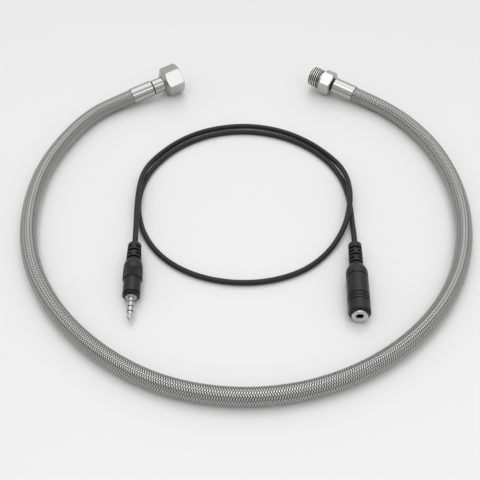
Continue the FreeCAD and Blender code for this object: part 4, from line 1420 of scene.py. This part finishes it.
@dataclass(frozen=True)
class Studio:
    """The floor, the lamps, the sky and the camera.

    The sky's stops are shares of the way from the front horizon over the zenith to the back
    horizon, each with its level.
    """

    target: tuple[float, float, float] = (-2.2, -45.4, 0.0)
    distance: float = 448.0
    elevation: float = 46.0
    lens: float = 60.0
    sensor: float = 36.0
    near: float = 10.0
    floor_half: float = 3.0
    lamps: tuple[Lamp, ...] = (Lamp("left", (-0.28, -0.17, 0.85), (0.4, 0.45), 0.75),
                               Lamp("right", (0.38, -0.42, 0.68), (0.4, 0.3), 0.45))
    sky_stops: tuple[tuple[float, float], ...] = (
        (0.0, 0.14), (0.06, 0.16), (0.1, 0.46), (0.34, 0.35), (0.42, 0.4), (0.5, 0.74),
        (0.57, 0.98), (0.65, 1.0), (0.74, 0.79), (0.83, 0.5), (0.92, 0.36), (1.0, 0.33))
    sky_strength: float = 1.74
    tent_middle: float = 0.05
    tent_from: float = 0.2
    tent_to: float = 0.6
    side_level: float = 0.38

    def build(self) -> None:
        """Make the camera first, then the floor and the light."""
        self.camera()
        self.floor()
        self.sky()
        for lamp in self.lamps:
            data = bpy.data.lights.new(lamp.name, "AREA")
            data.shape = "RECTANGLE"
            data.size, data.size_y = lamp.size
            data.energy = lamp.power
            self.aim(data, Vector(lamp.place), Vector((0.0, 0.0, 0.0)))
        bpy.context.scene.view_settings.view_transform = "Standard"

    def aim(self, data: bpy.types.ID, place: Vector, target: Vector) -> bpy.types.Object:
        """Put a camera or a lamp into the scene at a place, so that it faces a target.

        Args:
            data: the camera or the lamp.
            place: where it stands, in metres.
            target: what it faces, in metres.

        Returns:
            Its object.
        """
        thing = bpy.data.objects.new(data.name, data)
        thing.location = place
        thing.rotation_euler = (target - place).to_track_quat("-Z", "Y").to_euler()
        bpy.context.scene.collection.objects.link(thing)
        return thing

    def camera(self) -> None:
        """Stand the camera at its distance and elevation in front of the target."""
        rise = math.radians(self.elevation)
        target = Vector(self.target) * MM
        place = target + Vector((0.0, -math.cos(rise), math.sin(rise))) * self.distance * MM
        data = bpy.data.cameras.new("camera")
        data.lens = self.lens
        data.sensor_width = self.sensor
        data.clip_start = self.near * MM
        bpy.context.scene.camera = self.aim(data, place, target)

    def floor(self) -> None:
        """Lay the floor as one square face just under the set."""
        half = self.floor_half
        points = np.array([(-half, -half, 0.0), (half, -half, 0.0), (half, half, 0.0),
                           (-half, half, 0.0)])
        top = new_object("floor", new_mesh("floor", points, np.array([[0, 1, 2, 3]])), [FLOOR])

    def sky(self) -> None:
        """Shade the sky as a white tent: brightest a little behind the zenith, dimmer in front.

        The stops go by the angle in the YZ plane. To the left and right, the tent falls by a
        smooth step of the distance from its middle plane to an even grey. The floor fills the
        picture, so the camera never sees the sky.
        """
        world = bpy.data.worlds.new("sky")
        bpy.context.scene.world = world
        world.use_nodes = True
        tree = world.node_tree
        tree.nodes.clear()
        way = add_node(tree, "ShaderNodeTexCoord")
        axes = add_node(tree, "ShaderNodeSeparateXYZ", links={"Vector": (way, "Generated")})
        angle = add_node(tree, "ShaderNodeMath", {"operation": "ARCTAN2"},
                         {0: (axes, "Y"), 1: (axes, "Z")})
        share = add_node(tree, "ShaderNodeMapRange",
                         {"From Min": -math.pi / 2, "From Max": math.pi / 2},
                         {"Value": (angle, "Value")})
        ramp = add_node(tree, "ShaderNodeValToRGB", links={"Fac": (share, "Result")})
        stops = ramp.color_ramp.elements
        for place, _ in self.sky_stops[1:-1]:
            stops.new(place)
        for stop, (_, level) in zip(stops, self.sky_stops):
            stop.color = grey(level)
        off = add_node(tree, "ShaderNodeMath", {"operation": "SUBTRACT", 1: self.tent_middle},
                       {0: (axes, "X")})
        size = add_node(tree, "ShaderNodeMath", {"operation": "ABSOLUTE"}, {0: (off, "Value")})
        edge = add_node(tree, "ShaderNodeMapRange",
                        {"interpolation_type": "SMOOTHSTEP", "From Min": self.tent_from,
                         "From Max": self.tent_to}, {"Value": (size, "Value")})
        tent = add_node(tree, "ShaderNodeMix",
                        {"data_type": "RGBA", MIX_B: grey(self.side_level)},
                        {0: (edge, "Result"), MIX_A: (ramp, "Color")})
        light = add_node(tree, "ShaderNodeBackground", {"Strength": self.sky_strength},
                         {"Color": (tent, MIX_RESULT)})
        add_node(tree, "ShaderNodeOutputWorld", links={"Surface": (light, "Background")})


def main() -> None:
    """Build the studio and the cords first, then each end."""
    logging.basicConfig(level=logging.INFO, format="%(message)s")
    Studio().build()
    Hose().build()
    Cable().build()
    UnionEnd(UNION_END, "union").build()
    MaleEnd(MALE_END, "male").build()
    Plug().build()
    Jack().build()
    dress_kept_solids()


if __name__ == "__main__":
    main()
